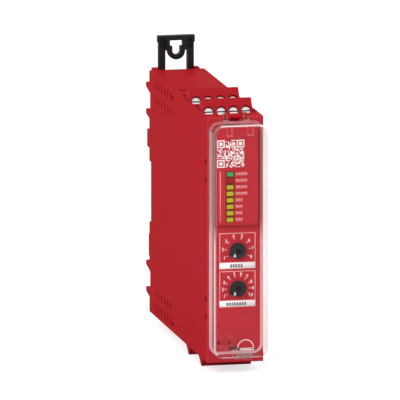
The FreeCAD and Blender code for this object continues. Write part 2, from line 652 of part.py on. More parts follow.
# ---------------------------------------------------------------- front
def front_plate():
    """Front face with dial holes, windows, hinge notch, seal holes and snap hooks."""
    outline = [(f"-{HALF_WIDTH}", f"-{TOP}"), (HALF_WIDTH, f"-{TOP}"), (HALF_WIDTH, TOP), (f"-{HALF_WIDTH}", TOP)]
    plate = prism("plate_outline", "XZ", outline, (PLATE_BACK, "body_depth"))
    face = -size("body_depth")
    rounded(plate, "plate_rounding", "plate_edge", lambda edge: edge.BoundBox.YMax < face + 1e-3)
    rims = []
    for side in (-1, 1):
        outside = f"{side} * ({INNER} - joint_gap)"
        inside = f"{side} * ({INNER} - joint_gap - rim_wall)"
        span = (outside, inside) if side < 0 else (inside, outside)
        rims.append(box(f"rim_{side + 1}", span, front(f"{PLATE_BACK} - rim_depth", PLATE_BACK),
                        (f"-{RIM_HALF}", RIM_HALF)))
        for index, place in enumerate(NOTCHES):
            tip = f"{side} * ({INNER} + hook_reach)"
            hook = (tip, outside) if side < 0 else (outside, tip)
            rims.append(box(f"hook_{side + 1}_{index}", hook,
                            front(*about(NOTCH_FRONT, "notch_width - 2 * joint_gap")),
                            about(place, "notch_height - 2 * joint_gap")))
    tools = hinge_openings("plate")
    through = front(f"{PLATE_BACK} - 1", "body_depth + 1")
    for name, place in (("upper", DIAL_UPPER), ("lower", DIAL_LOWER)):
        tools.append(rod(f"dial_hole_{name}", "y", ("dial_x", place), "dial_shaft + run_gap", through))
    tools += light_windows("plate", through)
    for index in range(2):
        centre = (f"seal_first + {index} * seal_pitch", f"{COVER_BOTTOM} + seal_lift + seal_hole_lift")
        tools.append(rod(f"plate_seal_hole_{index}", "y", centre, "seal_hole", through))
    low = f"{COVER_BOTTOM} + tongue_lift"
    tools.append(box("tongue_slot", about("tongue_offset", "tongue_width + 2 * run_gap"), through,
                     (f"{low} - run_gap", f"{low} + tongue_height + run_gap")))
    whole = join("plate_whole", [plate] + rims)
    return node(cut("front_plate", whole, tools), "front_plate")


def lamp_height_of(index):
    """Height of one light guide's centre."""
    return f"{LAMP_FIRST} - {index} * lamp_pitch"


def light_windows(name, span):
    """One window for each light guide."""
    windows = []
    for index in range(count("lamp_count")):
        windows.append(box(f"{name}_light_{index}", about("lamp_offset", "lamp_width"), span,
                           about(lamp_height_of(index), "lamp_height")))
    return windows


def bezel_block(name, span):
    """The block that the bezel fills."""
    return box(name, about("lamp_offset", "lamp_width + 2 * bezel_margin"), span,
               (f"{LAMP_FIRST} - (lamp_count - 1) * lamp_pitch - lamp_height / 2 - bezel_margin",
                f"{LAMP_FIRST} + lamp_height / 2 + bezel_margin"))


def indicator_pieces():
    """Raised panel, dark bezel, light guides and LEDs."""
    half = "panel_width / 2"
    outline = [(f"-{half}", PANEL_BOTTOM), (half, PANEL_BOTTOM), (half, PANEL_TOP), (f"-{half}", PANEL_TOP)]
    panel = prism("panel_outline", "XZ", outline, ("body_depth", PANEL_FRONT))
    rounded(panel, "panel_rounding", "panel_corner", lambda edge: edge_along(edge, Vector(0, 1, 0)))
    node(cut("indicator_panel", panel, [bezel_block("panel_slot", front("body_depth - 1", f"{PANEL_FRONT} + 1"))]),
         "indicator_panel")
    bezel = bezel_block("bezel_outline", front("body_depth", f"{PANEL_FRONT} + lamp_proud / 2"))
    node(cut("indicator_bezel", bezel, light_windows("bezel", front("body_depth - 1", f"{PANEL_FRONT} + 1"))),
         "indicator_bezel")
    led_front = f"{FRONT_BOARD_FACE} + led_depth"
    guides = light_windows("guide", front(f"{led_front} + joint_gap", f"{PANEL_FRONT} + lamp_proud"))
    node(group("light_guides", guides), "light_guides")
    leds = []
    for index in range(count("lamp_count")):
        leds.append(box(f"led_{index}", about("lamp_offset", "led_width"), front(FRONT_BOARD_FACE, led_front),
                        about(lamp_height_of(index), "led_height")))
    node(group("indicator_leds", leds), "indicator_leds")


def selector(name, place):
    """One dial with its shaft, and the rotary switch that it turns in."""
    back = "(body_depth + run_gap)"
    face = f"({back} + dial_thickness)"
    disc = rod(f"dial_disc_{name}", "y", ("dial_x", place), "dial_radius", front(back, face))
    angle = "(dial_angle * 1 deg)"
    # the pointer is a wedge from the disc's flanks to its tip, tangent to the disc
    flank = "acos(dial_radius / dial_tip)"
    corners = [("dial_x", place)]
    for turn, reach in ((f"({angle} - {flank})", "dial_radius"), (f"({angle})", "dial_tip"),
                        (f"({angle} + {flank})", "dial_radius")):
        corners.append((f"dial_x + {reach} * cos({turn})", f"({place}) + {reach} * sin({turn})"))
    pointer = prism(f"dial_pointer_{name}", "XZ", corners, (back, face))
    switch_front = f"({FRONT_BOARD_FACE} + switch_depth)"
    shaft_end = f"({FRONT_BOARD_FACE} + run_gap)"
    shaft = rod(f"dial_shaft_{name}", "y", ("dial_x", place), "dial_shaft", front(shaft_end, back))
    arms = []
    for index, (across, up) in enumerate((("dial_cross", "dial_cross_width"), ("dial_cross_width", "dial_cross"))):
        arms.append(box(f"dial_cross_{name}_{index}", about("dial_x", across),
                        front(f"{face} - dial_cross_depth", f"{face} + 1"), about(place, up)))
    whole = join(f"dial_whole_{name}", [disc, pointer, shaft])
    node(cut(f"selector_dial_{name}", whole, arms), f"selector_dial_{name}")
    body = box(f"switch_block_{name}", about("dial_x", "switch_width"), front(FRONT_BOARD_FACE, switch_front),
               about(place, "switch_width"))
    bore = rod(f"switch_bore_{name}", "y", ("dial_x", place), "dial_shaft + pin_fit",
               front(FRONT_BOARD_FACE, f"{switch_front} + 1"))
    node(cut(f"rotary_switch_{name}", body, [bore]), f"rotary_switch_{name}")


# ---------------------------------------------------------------- clear cover
def cover_arms():
    """Two bent arms with hinge pins, and the ribs that stiffen the cover's top edge."""
    pieces = []
    foot_front = f"({COVER_BACK} + arm_foot)"
    crest = f"({HINGE_FRONT} + arm_crest)"
    path = [
        (f"-({HINGE_FRONT} - hinge_eye)", HINGE_Z),
        (f"-({HINGE_FRONT} - hinge_eye)", f"{HINGE_Z} + hinge_eye / 2"),
        (f"-({crest} - arm_flat)", f"{TOP} + arm_rise"),
        (f"-{crest}", f"{TOP} + arm_rise"),
        (f"-{foot_front}", COVER_TOP),
        (f"-{foot_front}", f"{COVER_TOP} - cover_wall / 2"),
        (f"-{COVER_BACK}", f"{COVER_TOP} - cover_wall / 2"),
        (f"-{COVER_BACK}", f"{COVER_TOP} + run_gap"),
        (f"-{crest}", f"{TOP} + arm_rise - arm_thickness"),
        (f"-{HINGE_FRONT}", f"{HINGE_Z} - hinge_eye / 2"),
    ]
    for side in (-1, 1):
        tag = "left" if side < 0 else "right"
        centre = f"{side} * arm_offset"
        span = about(centre, "arm_width")
        pieces.append(prism(f"arm_{tag}", "YZ", path, span))
        pieces.append(rod(f"arm_eye_{tag}", "x", (f"-{HINGE_FRONT}", HINGE_Z), "hinge_eye", span))
        outer = f"{side} * ({RECESS_HALF} + hinge_pin_length)"
        pin = (outer, centre) if side < 0 else (centre, outer)
        pieces.append(rod(f"arm_pin_{tag}", "x", (f"-{HINGE_FRONT}", HINGE_Z), "hinge_pin", pin))
        pieces.append(box(f"cover_rib_{tag}", span,
                          front(f"{COVER_FRONT} - cover_wall - rib_depth", f"{COVER_FRONT} - cover_wall / 2"),
                          (f"{COVER_TOP} - cover_wall - rib_drop", f"{COVER_TOP} - cover_wall / 2")))
    return pieces


def clear_cover():
    """Rounded clear box, open at the back, with arms, seal bosses, grip and snap tongue."""
    half = "cover_width / 2"
    outline = [(f"-{half}", COVER_BOTTOM), (half, COVER_BOTTOM), (half, COVER_TOP), (f"-{half}", COVER_TOP)]
    outer = prism("cover_outline", "XZ", outline, (COVER_BACK, COVER_FRONT))
    rounded(outer, "cover_corners", "cover_corner", lambda edge: edge_along(edge, Vector(0, 1, 0)))
    face = -size(COVER_FRONT)
    rounded(outer, "cover_rounding", "cover_edge", lambda edge: edge.BoundBox.YMax < face + 1e-3)
    inset = f"({half} - cover_wall)"
    low = f"({COVER_BOTTOM} + cover_wall)"
    high = f"({COVER_TOP} - cover_wall)"
    hollow = [(f"-{inset}", low), (inset, low), (inset, high), (f"-{inset}", high)]
    inner = prism("cover_space", "XZ", hollow, (f"{COVER_BACK} - 1", f"{COVER_FRONT} - cover_wall"))
    rounded(inner, "space_corners", "cover_corner - cover_wall", lambda edge: edge_along(edge, Vector(0, 1, 0)))
    shell = cut("cover_shell", outer, [inner])
    pieces = [shell] + cover_arms()
    holes = []
    for index in range(2):
        centre = f"(seal_first + {index} * seal_pitch)"
        foot = f"({COVER_BOTTOM} + seal_lift)"
        corners = [(f"{centre} - seal_width / 2", foot), (f"{centre} + seal_width / 2", foot),
                   (f"{centre} + seal_top / 2", f"{foot} + seal_height"),
                   (f"{centre} - seal_top / 2", f"{foot} + seal_height")]
        pieces.append(prism(f"seal_boss_{index}", "XZ", corners, (COVER_BACK, f"{COVER_FRONT} - cover_wall / 2")))
        holes.append(rod(f"seal_hole_{index}", "y", (centre, f"{foot} + seal_hole_lift"), "seal_hole",
                         front(f"{COVER_BACK} - 1", f"{COVER_FRONT} + 1")))
    grip_depth = front(f"{COVER_FRONT} - cover_edge - grip_depth", f"{COVER_FRONT} - cover_edge")
    pieces.append(box("finger_grip", about("grip_offset", "grip_width"), grip_depth,
                      (f"{COVER_BOTTOM} - grip_drop", f"{COVER_BOTTOM} + cover_wall / 2")))
    ribs = count("grip_ribs")
    for index in range(ribs):
        middle = f"grip_offset + {2 * index + 1 - ribs} * grip_width / (2 * grip_ribs)"
        pieces.append(box(f"grip_rib_{index}", about(middle, "grip_rib_width"),
                          front(f"{COVER_FRONT} - cover_wall / 2", f"{COVER_FRONT} + grip_rib_proud"),
                          (f"{COVER_BOTTOM} + grip_rib_lift", f"{COVER_BOTTOM} + grip_rib_lift + grip_rib_height")))
    tongue_low = f"({COVER_BOTTOM} + tongue_lift)"
    pieces.append(box("tongue", about("tongue_offset", "tongue_width"),
                      front(f"body_depth - tongue_reach", f"{COVER_BACK} + tongue_reach"),
                      (tongue_low, f"{tongue_low} + tongue_height")))
    pieces.append(box("tongue_root", about("tongue_offset", "tongue_width"),
                      front(COVER_BACK, f"{COVER_BACK} + tongue_reach"),
                      (f"{COVER_BOTTOM} + cover_wall / 2", f"{tongue_low} + tongue_height")))
    return node(cut("clear_cover", join("cover_whole", pieces), holes), "clear_cover")


# ---------------------------------------------------------------- rail latch
def rail_latch():
    """Black slide: two legs, a hooked cross bar at the rail and a head with a screw eye."""
    depth = ("run_gap", "run_gap + latch_thickness")
    inner = "(latch_width / 2 - latch_leg)"
    eye_z = f"({LATCH_TOP} - eye_drop)"
    body = [
        box("leg_left", ("-latch_width / 2", f"-{inner}"), depth, (HOOK_TIP, LATCH_TOP)),
        box("leg_right", (inner, "latch_width / 2"), depth, (HOOK_TIP, LATCH_TOP)),
        box("latch_crossbar", about("0", "latch_width"), depth, (HOOK_TIP, f"{HOOK_TIP} + latch_bar")),
        box("latch_top", about("0", "latch_width"), depth, (f"{LATCH_TOP} - latch_head", LATCH_TOP)),
        box("latch_flare", about("0", "latch_width + 2 * head_flare"), depth,
            (f"{LATCH_TOP} - flare_height", LATCH_TOP)),
        rod("latch_ring", "y", ("0", eye_z), "eye_radius + eye_rim", depth),
    ]
    through = ("-1", "run_gap + latch_thickness + 1")
    slot_top = f"({LATCH_TOP} - eye_slot_drop)"
    tools = [
        rod("latch_eye", "y", ("0", eye_z), "eye_radius", through),
        box("latch_eye_neck", about("0", "2 * eye_radius"), through, (eye_z, slot_top)),
        box("latch_eye_slot", about("0", "eye_slot_width"), through, (f"{slot_top} - eye_slot_height", slot_top)),
        box("latch_hook_cut", about("0", "latch_width + 2"), ("-1", "rail_sheet + run_gap"),
            (f"{HOOK_TIP} - 1", f"{RAIL_EDGE} + run_gap")),
    ]
    for side in (-1, 1):
        middle = f"{side} * pocket_offset"
        tools.append(box(f"latch_pocket_{side + 1}", about(middle, "pocket_width"),
                         ("-1", "run_gap + pocket_depth"),
                         about(f"{LATCH_TOP} - latch_head / 2", "pocket_height")))
    return node(cut("rail_latch", join("latch_whole", body), tools), "rail_latch")


def latch_spring():
    """Coil spring between the latch's cross bar and the stop rib of the housing."""
    low = size(f"{HOOK_TIP} + latch_bar")
    wire = size("spring_wire")
    coil = size("spring_radius")
    length = size("spring_length") - 2 * wire
    helix = Part.makeHelix(length / size("spring_turns"), length, coil)
    start = Part.Wire([Part.makeCircle(wire, Vector(coil, 0, 0), Vector(0, 1, 0))])
    spring = doc.addObject("Part::Feature", "latch_spring")
    spring.Shape = Part.Wire(helix.Edges).makePipeShell([start], True, True)
    middle = size("run_gap + latch_thickness / 2")
    spring.Placement.Base = Vector(0, middle, low + wire)
    return node(spring, "latch_spring")


# ---------------------------------------------------------------- terminal blocks
def seat(piece, side, edge):
    """Lean a piece over about its outer edge and set it in its tier; -1 turns it to the bottom."""
    place = f"vector(0; -{edge}; {side} * (body_height / 2 + block_rise))"
    lean = "rotation(vector(1; 0; 0); -block_tilt)"
    turn = lean if side > 0 else f"rotation(vector(0; 1; 0); 180) * {lean}"
    piece.setExpression("Placement", formula(f"placement({place}; {turn})"))


POLES = count("pole_count")


def pole(index):
    """Place of one terminal across the block."""
    return f"({2 * index + 1 - POLES} * pole_pitch / 2)"


CONTACT_MIDDLE = "(wire_start + wire_depth - contact_gap - contact_depth / 2)"


def terminal_block(name, side, edge):
    """Pull-out block with four screw holes, four wire entries and four contact cavities.
    In its own frame the outer edge is the X axis, screws run along +Y and wires along -Z."""
    body = box(f"block_body_{name}", about("0", "block_width"), ("0", "block_thickness"), ("-block_length", "0"))
    tools = []
    for index in range(POLES):
        middle = pole(index)
        tag = f"{name}_{index}"
        cavity = about(middle, "contact_width + 2 * contact_gap")
        cavity_depth = about(CONTACT_MIDDLE, "contact_depth + 2 * contact_gap")
        tools += [
            rod(f"screw_well_{tag}", "y", (middle, "-screw_drop"), "screw_hole",
                ("-1", "screw_recess + screw_head_height")),
            rod(f"screw_way_{tag}", "y", (middle, "-screw_drop"), "screw_shank + pin_fit", ("0", "wire_start + 1")),
            box(f"wire_way_{tag}", about(middle, "wire_width"), ("wire_start", "wire_start + wire_depth"),
                ("-wire_length", "1")),
            box(f"wire_mouth_{tag}", about(middle, "wire_width + 2 * mouth_margin"),
                ("wire_start - mouth_margin", "wire_start + wire_depth + mouth_margin"), ("-mouth_depth", "1")),
            box(f"contact_way_{tag}", cavity, cavity_depth, ("-block_length - 1", "-wire_length")),
        ]
    block = cut(f"terminal_block_{name}", body, tools)
    seat(block, side, edge)
    return node(block, f"terminal_block_{name}")


def terminal_screws(name, side, edge):
    """Four slotted screws, heads just below the block's face."""
    screws = []
    for index in range(POLES):
        middle = pole(index)
        tag = f"{name}_{index}"
        head = rod(f"screw_top_{tag}", "y", (middle, "-screw_drop"), "screw_head",
                   ("screw_recess", "screw_recess + screw_head_height"))
        shank = rod(f"screw_stem_{tag}", "y", (middle, "-screw_drop"), "screw_shank",
                    ("screw_recess", "screw_length"))
        slot = box(f"screw_cut_{tag}", about(middle, "2 * screw_head + 1"),
                   ("screw_recess - 1", "screw_recess + screw_slot_depth"), about("-screw_drop", "screw_slot"))
        screws.append(cut(f"screw_{tag}", join(f"screw_solid_{tag}", [head, shank]), [slot]))
    screw_set = group(f"terminal_screws_{name}", screws)
    seat(screw_set, side, edge)
    return node(screw_set, f"terminal_screws_{name}")


def wire_clamps(name, side, edge):
    """Four box clamps: the screw passes one wall and presses the wire inside."""
    clamps = []
    for index in range(POLES):
        middle = pole(index)
        tag = f"{name}_{index}"
        depth = ("wire_start + contact_gap", "wire_start + wire_depth - contact_gap")
        height = ("-wire_length", "clamp_height - wire_length")
        outer = box(f"clamp_solid_{tag}", about(middle, "wire_width - 2 * contact_gap"), depth, height)
        inner = box(f"clamp_room_{tag}", about(middle, "wire_width - 2 * contact_gap - 2 * clamp_side"),
                    (f"{depth[0]} + clamp_wall", f"{depth[1]} - clamp_wall"), (f"{height[0]} - 1", f"{height[1]} + 1"))
        hole = rod(f"clamp_hole_{tag}", "y", (middle, "-screw_drop"), "screw_shank + pin_fit",
                   ("wire_start", f"{depth[0]} + clamp_wall + contact_gap"))
        clamps.append(cut(f"clamp_{tag}", outer, [inner, hole]))
    clamp_set = group(f"wire_clamps_{name}", clamps)
    seat(clamp_set, side, edge)
    return node(clamp_set, f"wire_clamps_{name}")


def plug_contacts(name, side, edge):
    """Four spring contacts under the clamps, each with a slot for its header pin."""
    contacts = []
    for index in range(POLES):
        middle = pole(index)
        tag = f"{name}_{index}"
        solid = box(f"contact_solid_{tag}", about(middle, "contact_width"), about(CONTACT_MIDDLE, "contact_depth"),
                    ("contact_end - block_length", "-wire_length"))
        slot = box(f"contact_slot_{tag}", about(middle, "pin_side + 2 * pin_slot_fit"),
                   about(CONTACT_MIDDLE, "pin_side + 2 * pin_slot_fit"),
                   ("-block_length", "pin_insert + run_gap - block_length"))
        contacts.append(cut(f"contact_{tag}", solid, [slot]))
    contact_set = group(f"plug_contacts_{name}", contacts)
    seat(contact_set, side, edge)
    return node(contact_set, f"plug_contacts_{name}")


HEADER_TOP = "(-block_length - joint_gap)"
HEADER_BOTTOM = "(-block_length - joint_gap - header_floor)"


def header_base(name, side, edge):
    """Base that the block is pushed onto: a floor with four pin holes and a low back wall."""
    floor = box(f"header_slab_{name}", about("0", "block_width"), ("0", "block_thickness + run_gap + header_back"),
                (HEADER_BOTTOM, HEADER_TOP))
    back = box(f"header_wall_{name}", about("0", "block_width"),
               ("block_thickness + run_gap", "block_thickness + run_gap + header_back"),
               (HEADER_BOTTOM, f"{HEADER_TOP} + header_rise"))
    holes = []
    for index in range(POLES):
        holes.append(box(f"header_hole_{name}_{index}", about(pole(index), "pin_side"),
                         about(CONTACT_MIDDLE, "pin_side"), (f"{HEADER_BOTTOM} - 1", f"{HEADER_TOP} + 1")))
    base = cut(f"header_base_{name}", join(f"header_solid_{name}", [floor, back]), holes)
    seat(base, side, edge)
    return node(base, f"header_base_{name}")


def header_pins(name, side, edge):
    """Four square pins, each with a tail that turns to the main board, longest furthest away."""
    pins = []
    for index in range(POLES):
        middle = pole(index)
        tag = f"{name}_{index}"
        # a bottom block is turned about Y, so its nearest pole to the board is the last one
        rank = index if side > 0 else POLES - 1 - index
        tail = f"({HEADER_BOTTOM} - pin_tail - {rank} * pin_step)"
        face = f"({BOARD_FACE})" if side > 0 else f"(-{BOARD_FACE})"
        reach = (face, f"{middle} + pin_side / 2") if side > 0 else (f"{middle} - pin_side / 2", face)
        post = box(f"pin_post_{tag}", about(middle, "pin_side"), about(CONTACT_MIDDLE, "pin_side"),
                   (tail, "pin_insert - block_length"))
        foot = box(f"pin_foot_{tag}", reach, about(CONTACT_MIDDLE, "pin_side"), (tail, f"{tail} + pin_side"))
        pins.append(join(f"pin_{tag}", [post, foot]))
    pin_set = group(f"header_pins_{name}", pins)
    seat(pin_set, side, edge)
    return node(pin_set, f"header_pins_{name}")


# ---------------------------------------------------------------- boards
def boards():
    """Main board on the left wall's posts and front board behind the front plate."""
    node(box("main_board", (BOARD_LEFT, BOARD_FACE), front("board_start", BOARD_END),
             (f"-{BOARD_HALF}", BOARD_HALF)), "main_board")
    board_back = f"({BOARD_END} + front_board_gap)"
    node(box("front_board", about("0", "front_board_width"), front(board_back, FRONT_BOARD_FACE),
             (f"{DIAL_LOWER} - front_board_below", f"{LAMP_FIRST} + front_board_above")), "front_board")
    pins = []
    links = count("link_pins")
    for index in range(links):
        middle = f"({2 * index + 1 - links}) * 2 * pin_side"
        pins.append(box(f"board_link_{index}", (BOARD_FACE, f"{BOARD_FACE} + pin_side"),
                        front(f"{BOARD_END} - pin_tail", board_back), about(middle, "pin_side")))
    node(group("board_connector", pins), "board_connector")


def board_parts():
    """Internal relays, transformer, capacitors and processors on the main board."""
    for name, side in (("upper", 1), ("lower", -1)):
        inner, outer = f"{side} * relay_split", f"{side} * (relay_split + relay_height)"
        span = (inner, outer) if side > 0 else (outer, inner)
        node(box(f"internal_relay_{name}", (BOARD_FACE, f"{BOARD_FACE} + relay_width"),
                 front("relay_start", "relay_start + relay_depth"), span), f"internal_relay_{name}")
    low = "(-coil_drop)"
    high = "(coil_height - coil_drop)"
    core = box("coil_core", (BOARD_FACE, f"{BOARD_FACE} + coil_width - coil_inset"),
               front("coil_start + coil_inset", "coil_start + coil_depth - coil_inset"),
               (f"{low} + coil_inset", f"{high} - coil_inset"))
    flanges = []
    for index, place in enumerate(("coil_start", "coil_start + coil_depth - coil_flange")):
        flanges.append(box(f"coil_end_{index}", (BOARD_FACE, f"{BOARD_FACE} + coil_width"),
                           front(place, f"{place} + coil_flange"), (low, high)))
    bridge = box("coil_bridge", (BOARD_FACE, f"{BOARD_FACE} + coil_flange"),
                 front("coil_start", "coil_start + coil_depth"), (low, high))
    node(join("transformer", [core, bridge] + flanges), "transformer")
    cans = []
    for index in range(2):
        centre = (f"-(can_start + {index} * can_pitch)", "can_rise")
        cans.append(rod(f"can_{index}", "x", centre, "can_radius", (BOARD_FACE, f"{BOARD_FACE} + can_length")))
    node(group("capacitors", cans), "capacitors")
    chips = []
    for side in (-1, 1):
        chips.append(box(f"chip_{side + 1}", (BOARD_FACE, f"{BOARD_FACE} + chip_height"),
                         front("body_depth - chip_setback", "body_depth - chip_setback + chip_side"),
                         about(f"{side} * chip_rise", "chip_side")))
    node(group("processors", chips), "processors")


housing_shell()
side_cover()
front_plate()
indicator_pieces()
selector("upper", DIAL_UPPER)
selector("lower", DIAL_LOWER)
clear_cover()
rail_latch()
latch_spring()
for tier in TIERS:
    terminal_block(*tier)
    terminal_screws(*tier)
    wire_clamps(*tier)
    plug_contacts(*tier)
    header_base(*tier)
    header_pins(*tier)
boards()
board_parts()
doc.recompute()

faults = [thing.Name for thing in doc.Objects if "Invalid" in thing.State or "Error" in thing.State]
faults += [piece.Label for piece in NODES if piece.Shape.isNull() or not piece.Shape.isValid()]
if faults:
    raise SystemExit("failed: " + ", ".join(faults))

os.makedirs("parts", exist_ok=True)
for piece in NODES:
    piece.Shape.exportStep(f"parts/{piece.Label}.step")
    print(f"{piece.Label}: {len(piece.Shape.Solids)} solid(s), {piece.Shape.Volume:.1f} mm3")
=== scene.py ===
# %% [markdown]
# # A safety relay for a mounting rail
# The relay is a slim red module. Screw terminals plug in at its top and bottom, a black latch
# holds it on a rail, and a clear cover swings up from two selector dials and a column of lights.
# The CAD model already gives every moulded piece its size, so this lesson rounds edges, prints
# the front and finishes each surface.

# %% Load the frame
import json
import math

import bmesh
import bpy
import numpy as np
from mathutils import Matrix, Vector


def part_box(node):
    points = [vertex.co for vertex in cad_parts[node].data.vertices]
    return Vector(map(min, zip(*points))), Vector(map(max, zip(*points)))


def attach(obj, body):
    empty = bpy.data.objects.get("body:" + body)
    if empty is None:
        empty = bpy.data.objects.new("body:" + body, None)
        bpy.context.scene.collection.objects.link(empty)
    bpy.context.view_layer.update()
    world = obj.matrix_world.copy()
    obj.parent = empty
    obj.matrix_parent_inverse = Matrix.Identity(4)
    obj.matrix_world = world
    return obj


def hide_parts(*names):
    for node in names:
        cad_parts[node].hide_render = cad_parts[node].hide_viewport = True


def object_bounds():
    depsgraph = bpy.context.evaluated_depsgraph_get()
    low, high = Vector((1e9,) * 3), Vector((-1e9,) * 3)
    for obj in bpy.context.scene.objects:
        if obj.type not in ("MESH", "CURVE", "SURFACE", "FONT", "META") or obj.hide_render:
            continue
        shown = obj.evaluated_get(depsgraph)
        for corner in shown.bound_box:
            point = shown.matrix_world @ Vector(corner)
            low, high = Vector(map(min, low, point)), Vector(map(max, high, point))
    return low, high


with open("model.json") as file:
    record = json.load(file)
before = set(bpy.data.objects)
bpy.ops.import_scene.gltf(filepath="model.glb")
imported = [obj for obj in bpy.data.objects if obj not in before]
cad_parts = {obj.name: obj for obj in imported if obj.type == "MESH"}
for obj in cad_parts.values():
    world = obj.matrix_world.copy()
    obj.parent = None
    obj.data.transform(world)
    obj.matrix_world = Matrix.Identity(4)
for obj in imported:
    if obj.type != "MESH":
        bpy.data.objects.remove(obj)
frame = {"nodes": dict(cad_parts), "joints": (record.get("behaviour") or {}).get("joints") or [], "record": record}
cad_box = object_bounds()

MM = 0.001
BODIES = {node: body
          for body, nodes in frame["record"]["behaviour"]["bodies"].items() for node in nodes}
SLOTS = {part["node"]: part["material_slot"] for part in frame["record"]["subparts"]}
TIERS = ("top_rear", "top_front", "bottom_rear", "bottom_front")
print("frame of", len(BODIES), "nodes")


def place_object(name, data):
    """An object of the given mesh, lamp or camera data, linked into the scene."""
    placed = bpy.data.objects.new(name, data)
    bpy.context.collection.objects.link(placed)
    return placed


# %% [markdown]
# ## Colours
# A paint swatch is read off in the display's own numbers, from 0 to 255, but shaders add up
# light, so each swatch is turned into linear light once, here.


# %% Swatches
def swatch(red, green, blue):
    """Linear RGBA of a display colour: each channel is raised along the display's curve."""
    share = np.array([red, green, blue]) / 255
    linear = np.where(share <= 0.04045, share / 12.92, ((share + 0.055) / 1.055) ** 2.4)
    return (*linear.tolist(), 1.0)


HOUSING_RED = swatch(178, 27, 35)
BLOCK_RED = swatch(174, 33, 42)
PANEL_RED = swatch(186, 44, 54)
PRINT_WHITE = swatch(255, 250, 248)
PRINT_PINK = swatch(240, 186, 186)

# %% [markdown]
# ## Two finishes that many pieces share
# Moulded plastic copies the spark-eroded skin of its mould: a fine grain, and a roughness and
# colour that drift a little over the part. Plated metal has a tighter grain and streaks. Both are
# node groups, built once, so each material only says how much of each it wants.


# %% Node helpers
def link(tree, source, target):
    tree.links.new(source, target)


def add_node(tree, kind, **values):
    """A node with its plain input values set by name."""
    node = tree.nodes.new(kind)
    set_inputs(node, **values)
    return node


def set_inputs(node, **values):
    """Sets plain input values by name, with underscores for the spaces."""
    for name, value in values.items():
        node.inputs[name.replace("_", " ")].default_value = value


def new_material(name):
    """A material with its node tree and its Principled shader."""
    material = bpy.data.materials.new(name)
    material.use_nodes = True
    return material, material.node_tree, material.node_tree.nodes["Principled BSDF"]


def start_group(name, numbers):
    """An empty shader group with a Colour input and number inputs, and three outputs."""
    tree = bpy.data.node_groups.new(name, "ShaderNodeTree")
    tree.interface.new_socket("Colour", in_out="INPUT", socket_type="NodeSocketColor")
    for number in numbers:
        tree.interface.new_socket(number, in_out="INPUT", socket_type="NodeSocketFloat")
    tree.interface.new_socket("Colour", in_out="OUTPUT", socket_type="NodeSocketColor")
    tree.interface.new_socket("Roughness", in_out="OUTPUT", socket_type="NodeSocketFloat")
    tree.interface.new_socket("Height", in_out="OUTPUT", socket_type="NodeSocketFloat")
    return tree, tree.nodes.new("NodeGroupInput"), tree.nodes.new("NodeGroupOutput")


def maths(tree, operation, first, second):
    """A Math node of two inputs, each a socket or a number."""
    node = tree.nodes.new("ShaderNodeMath")
    node.operation = operation
    for socket, value in zip(node.inputs, (first, second)):
        if isinstance(value, (int, float)):
            socket.default_value = value
        else:
            link(tree, value, socket)
    return node.outputs[0]


def surface_group(name, drift_scale, stretch):
    """Grain for the bump, drift for colour and roughness.
    Colour is multiplied by 1 + Drift x (noise - 0.5); roughness gets the same noise, weaker."""
    tree, entry, exit_node = start_group(name, ("Roughness", "Grain", "Grain size", "Drift"))
    coords = tree.nodes.new("ShaderNodeTexCoord")
    mapping = add_node(tree, "ShaderNodeMapping", Scale=stretch)
    link(tree, coords.outputs["Object"], mapping.inputs["Vector"])
    fine = add_node(tree, "ShaderNodeTexNoise", Detail=3.0, Roughness=0.6)
    link(tree, mapping.outputs["Vector"], fine.inputs["Vector"])
    link(tree, entry.outputs["Grain size"], fine.inputs["Scale"])
    broad = add_node(tree, "ShaderNodeTexNoise", Scale=drift_scale, Detail=4.0, Roughness=0.55)
    link(tree, coords.outputs["Object"], broad.inputs["Vector"])
    centred = maths(tree, "SUBTRACT", broad.outputs["Fac"], 0.5)
    drift = maths(tree, "MULTIPLY", centred, entry.outputs["Drift"])
    gain = maths(tree, "ADD", drift, 1.0)
    tinted = tree.nodes.new("ShaderNodeVectorMath")
    tinted.operation = "SCALE"
    link(tree, entry.outputs["Colour"], tinted.inputs[0])
    link(tree, gain, tinted.inputs["Scale"])
    link(tree, tinted.outputs[0], exit_node.inputs["Colour"])
    rough_shift = maths(tree, "MULTIPLY", drift, ROUGHNESS_SHARE)
    rough = maths(tree, "ADD", entry.outputs["Roughness"], rough_shift)
    link(tree, rough, exit_node.inputs["Roughness"])
    height = maths(tree, "MULTIPLY", fine.outputs["Fac"], entry.outputs["Grain"])
    link(tree, height, exit_node.inputs["Height"])
    return tree


ROUGHNESS_SHARE = 0.8
MOULDED = surface_group("moulded_skin", drift_scale=90.0, stretch=(1, 1, 1))
PLATED = surface_group("plated_metal", drift_scale=600.0, stretch=(1, 6, 1))


def finish_material(name, group, colour, roughness, grain, grain_size, drift, **shader_values):
    """A Principled material fed by one of the surface groups, with constants on its own sockets."""
    material, tree, shader = new_material(name)
    skin = tree.nodes.new("ShaderNodeGroup")
    skin.node_tree = group
    set_inputs(skin, Colour=colour, Roughness=roughness, Grain=grain, Grain_size=grain_size,
               Drift=drift)
    bump = add_node(tree, "ShaderNodeBump", Strength=0.6, Distance=0.02 * MM)
    link(tree, skin.outputs["Colour"], shader.inputs["Base Color"])
    link(tree, skin.outputs["Roughness"], shader.inputs["Roughness"])
    link(tree, skin.outputs["Height"], bump.inputs["Height"])
    link(tree, bump.outputs["Normal"], shader.inputs["Normal"])
    set_inputs(shader, **shader_values)
    return material


def plastic(name, colour, roughness=0.5, gloss=0.03, grain=1.0, grain_size=3200.0, drift=0.06):
    return finish_material(name, MOULDED, colour, roughness, grain, grain_size, drift,
                           Specular_IOR_Level=gloss)


def metal(name, colour, roughness=0.3, metallic=1.0, grain=0.6, grain_size=5000.0, drift=0.12):
    return finish_material(name, PLATED, colour, roughness, grain, grain_size, drift,
                           Metallic=metallic)


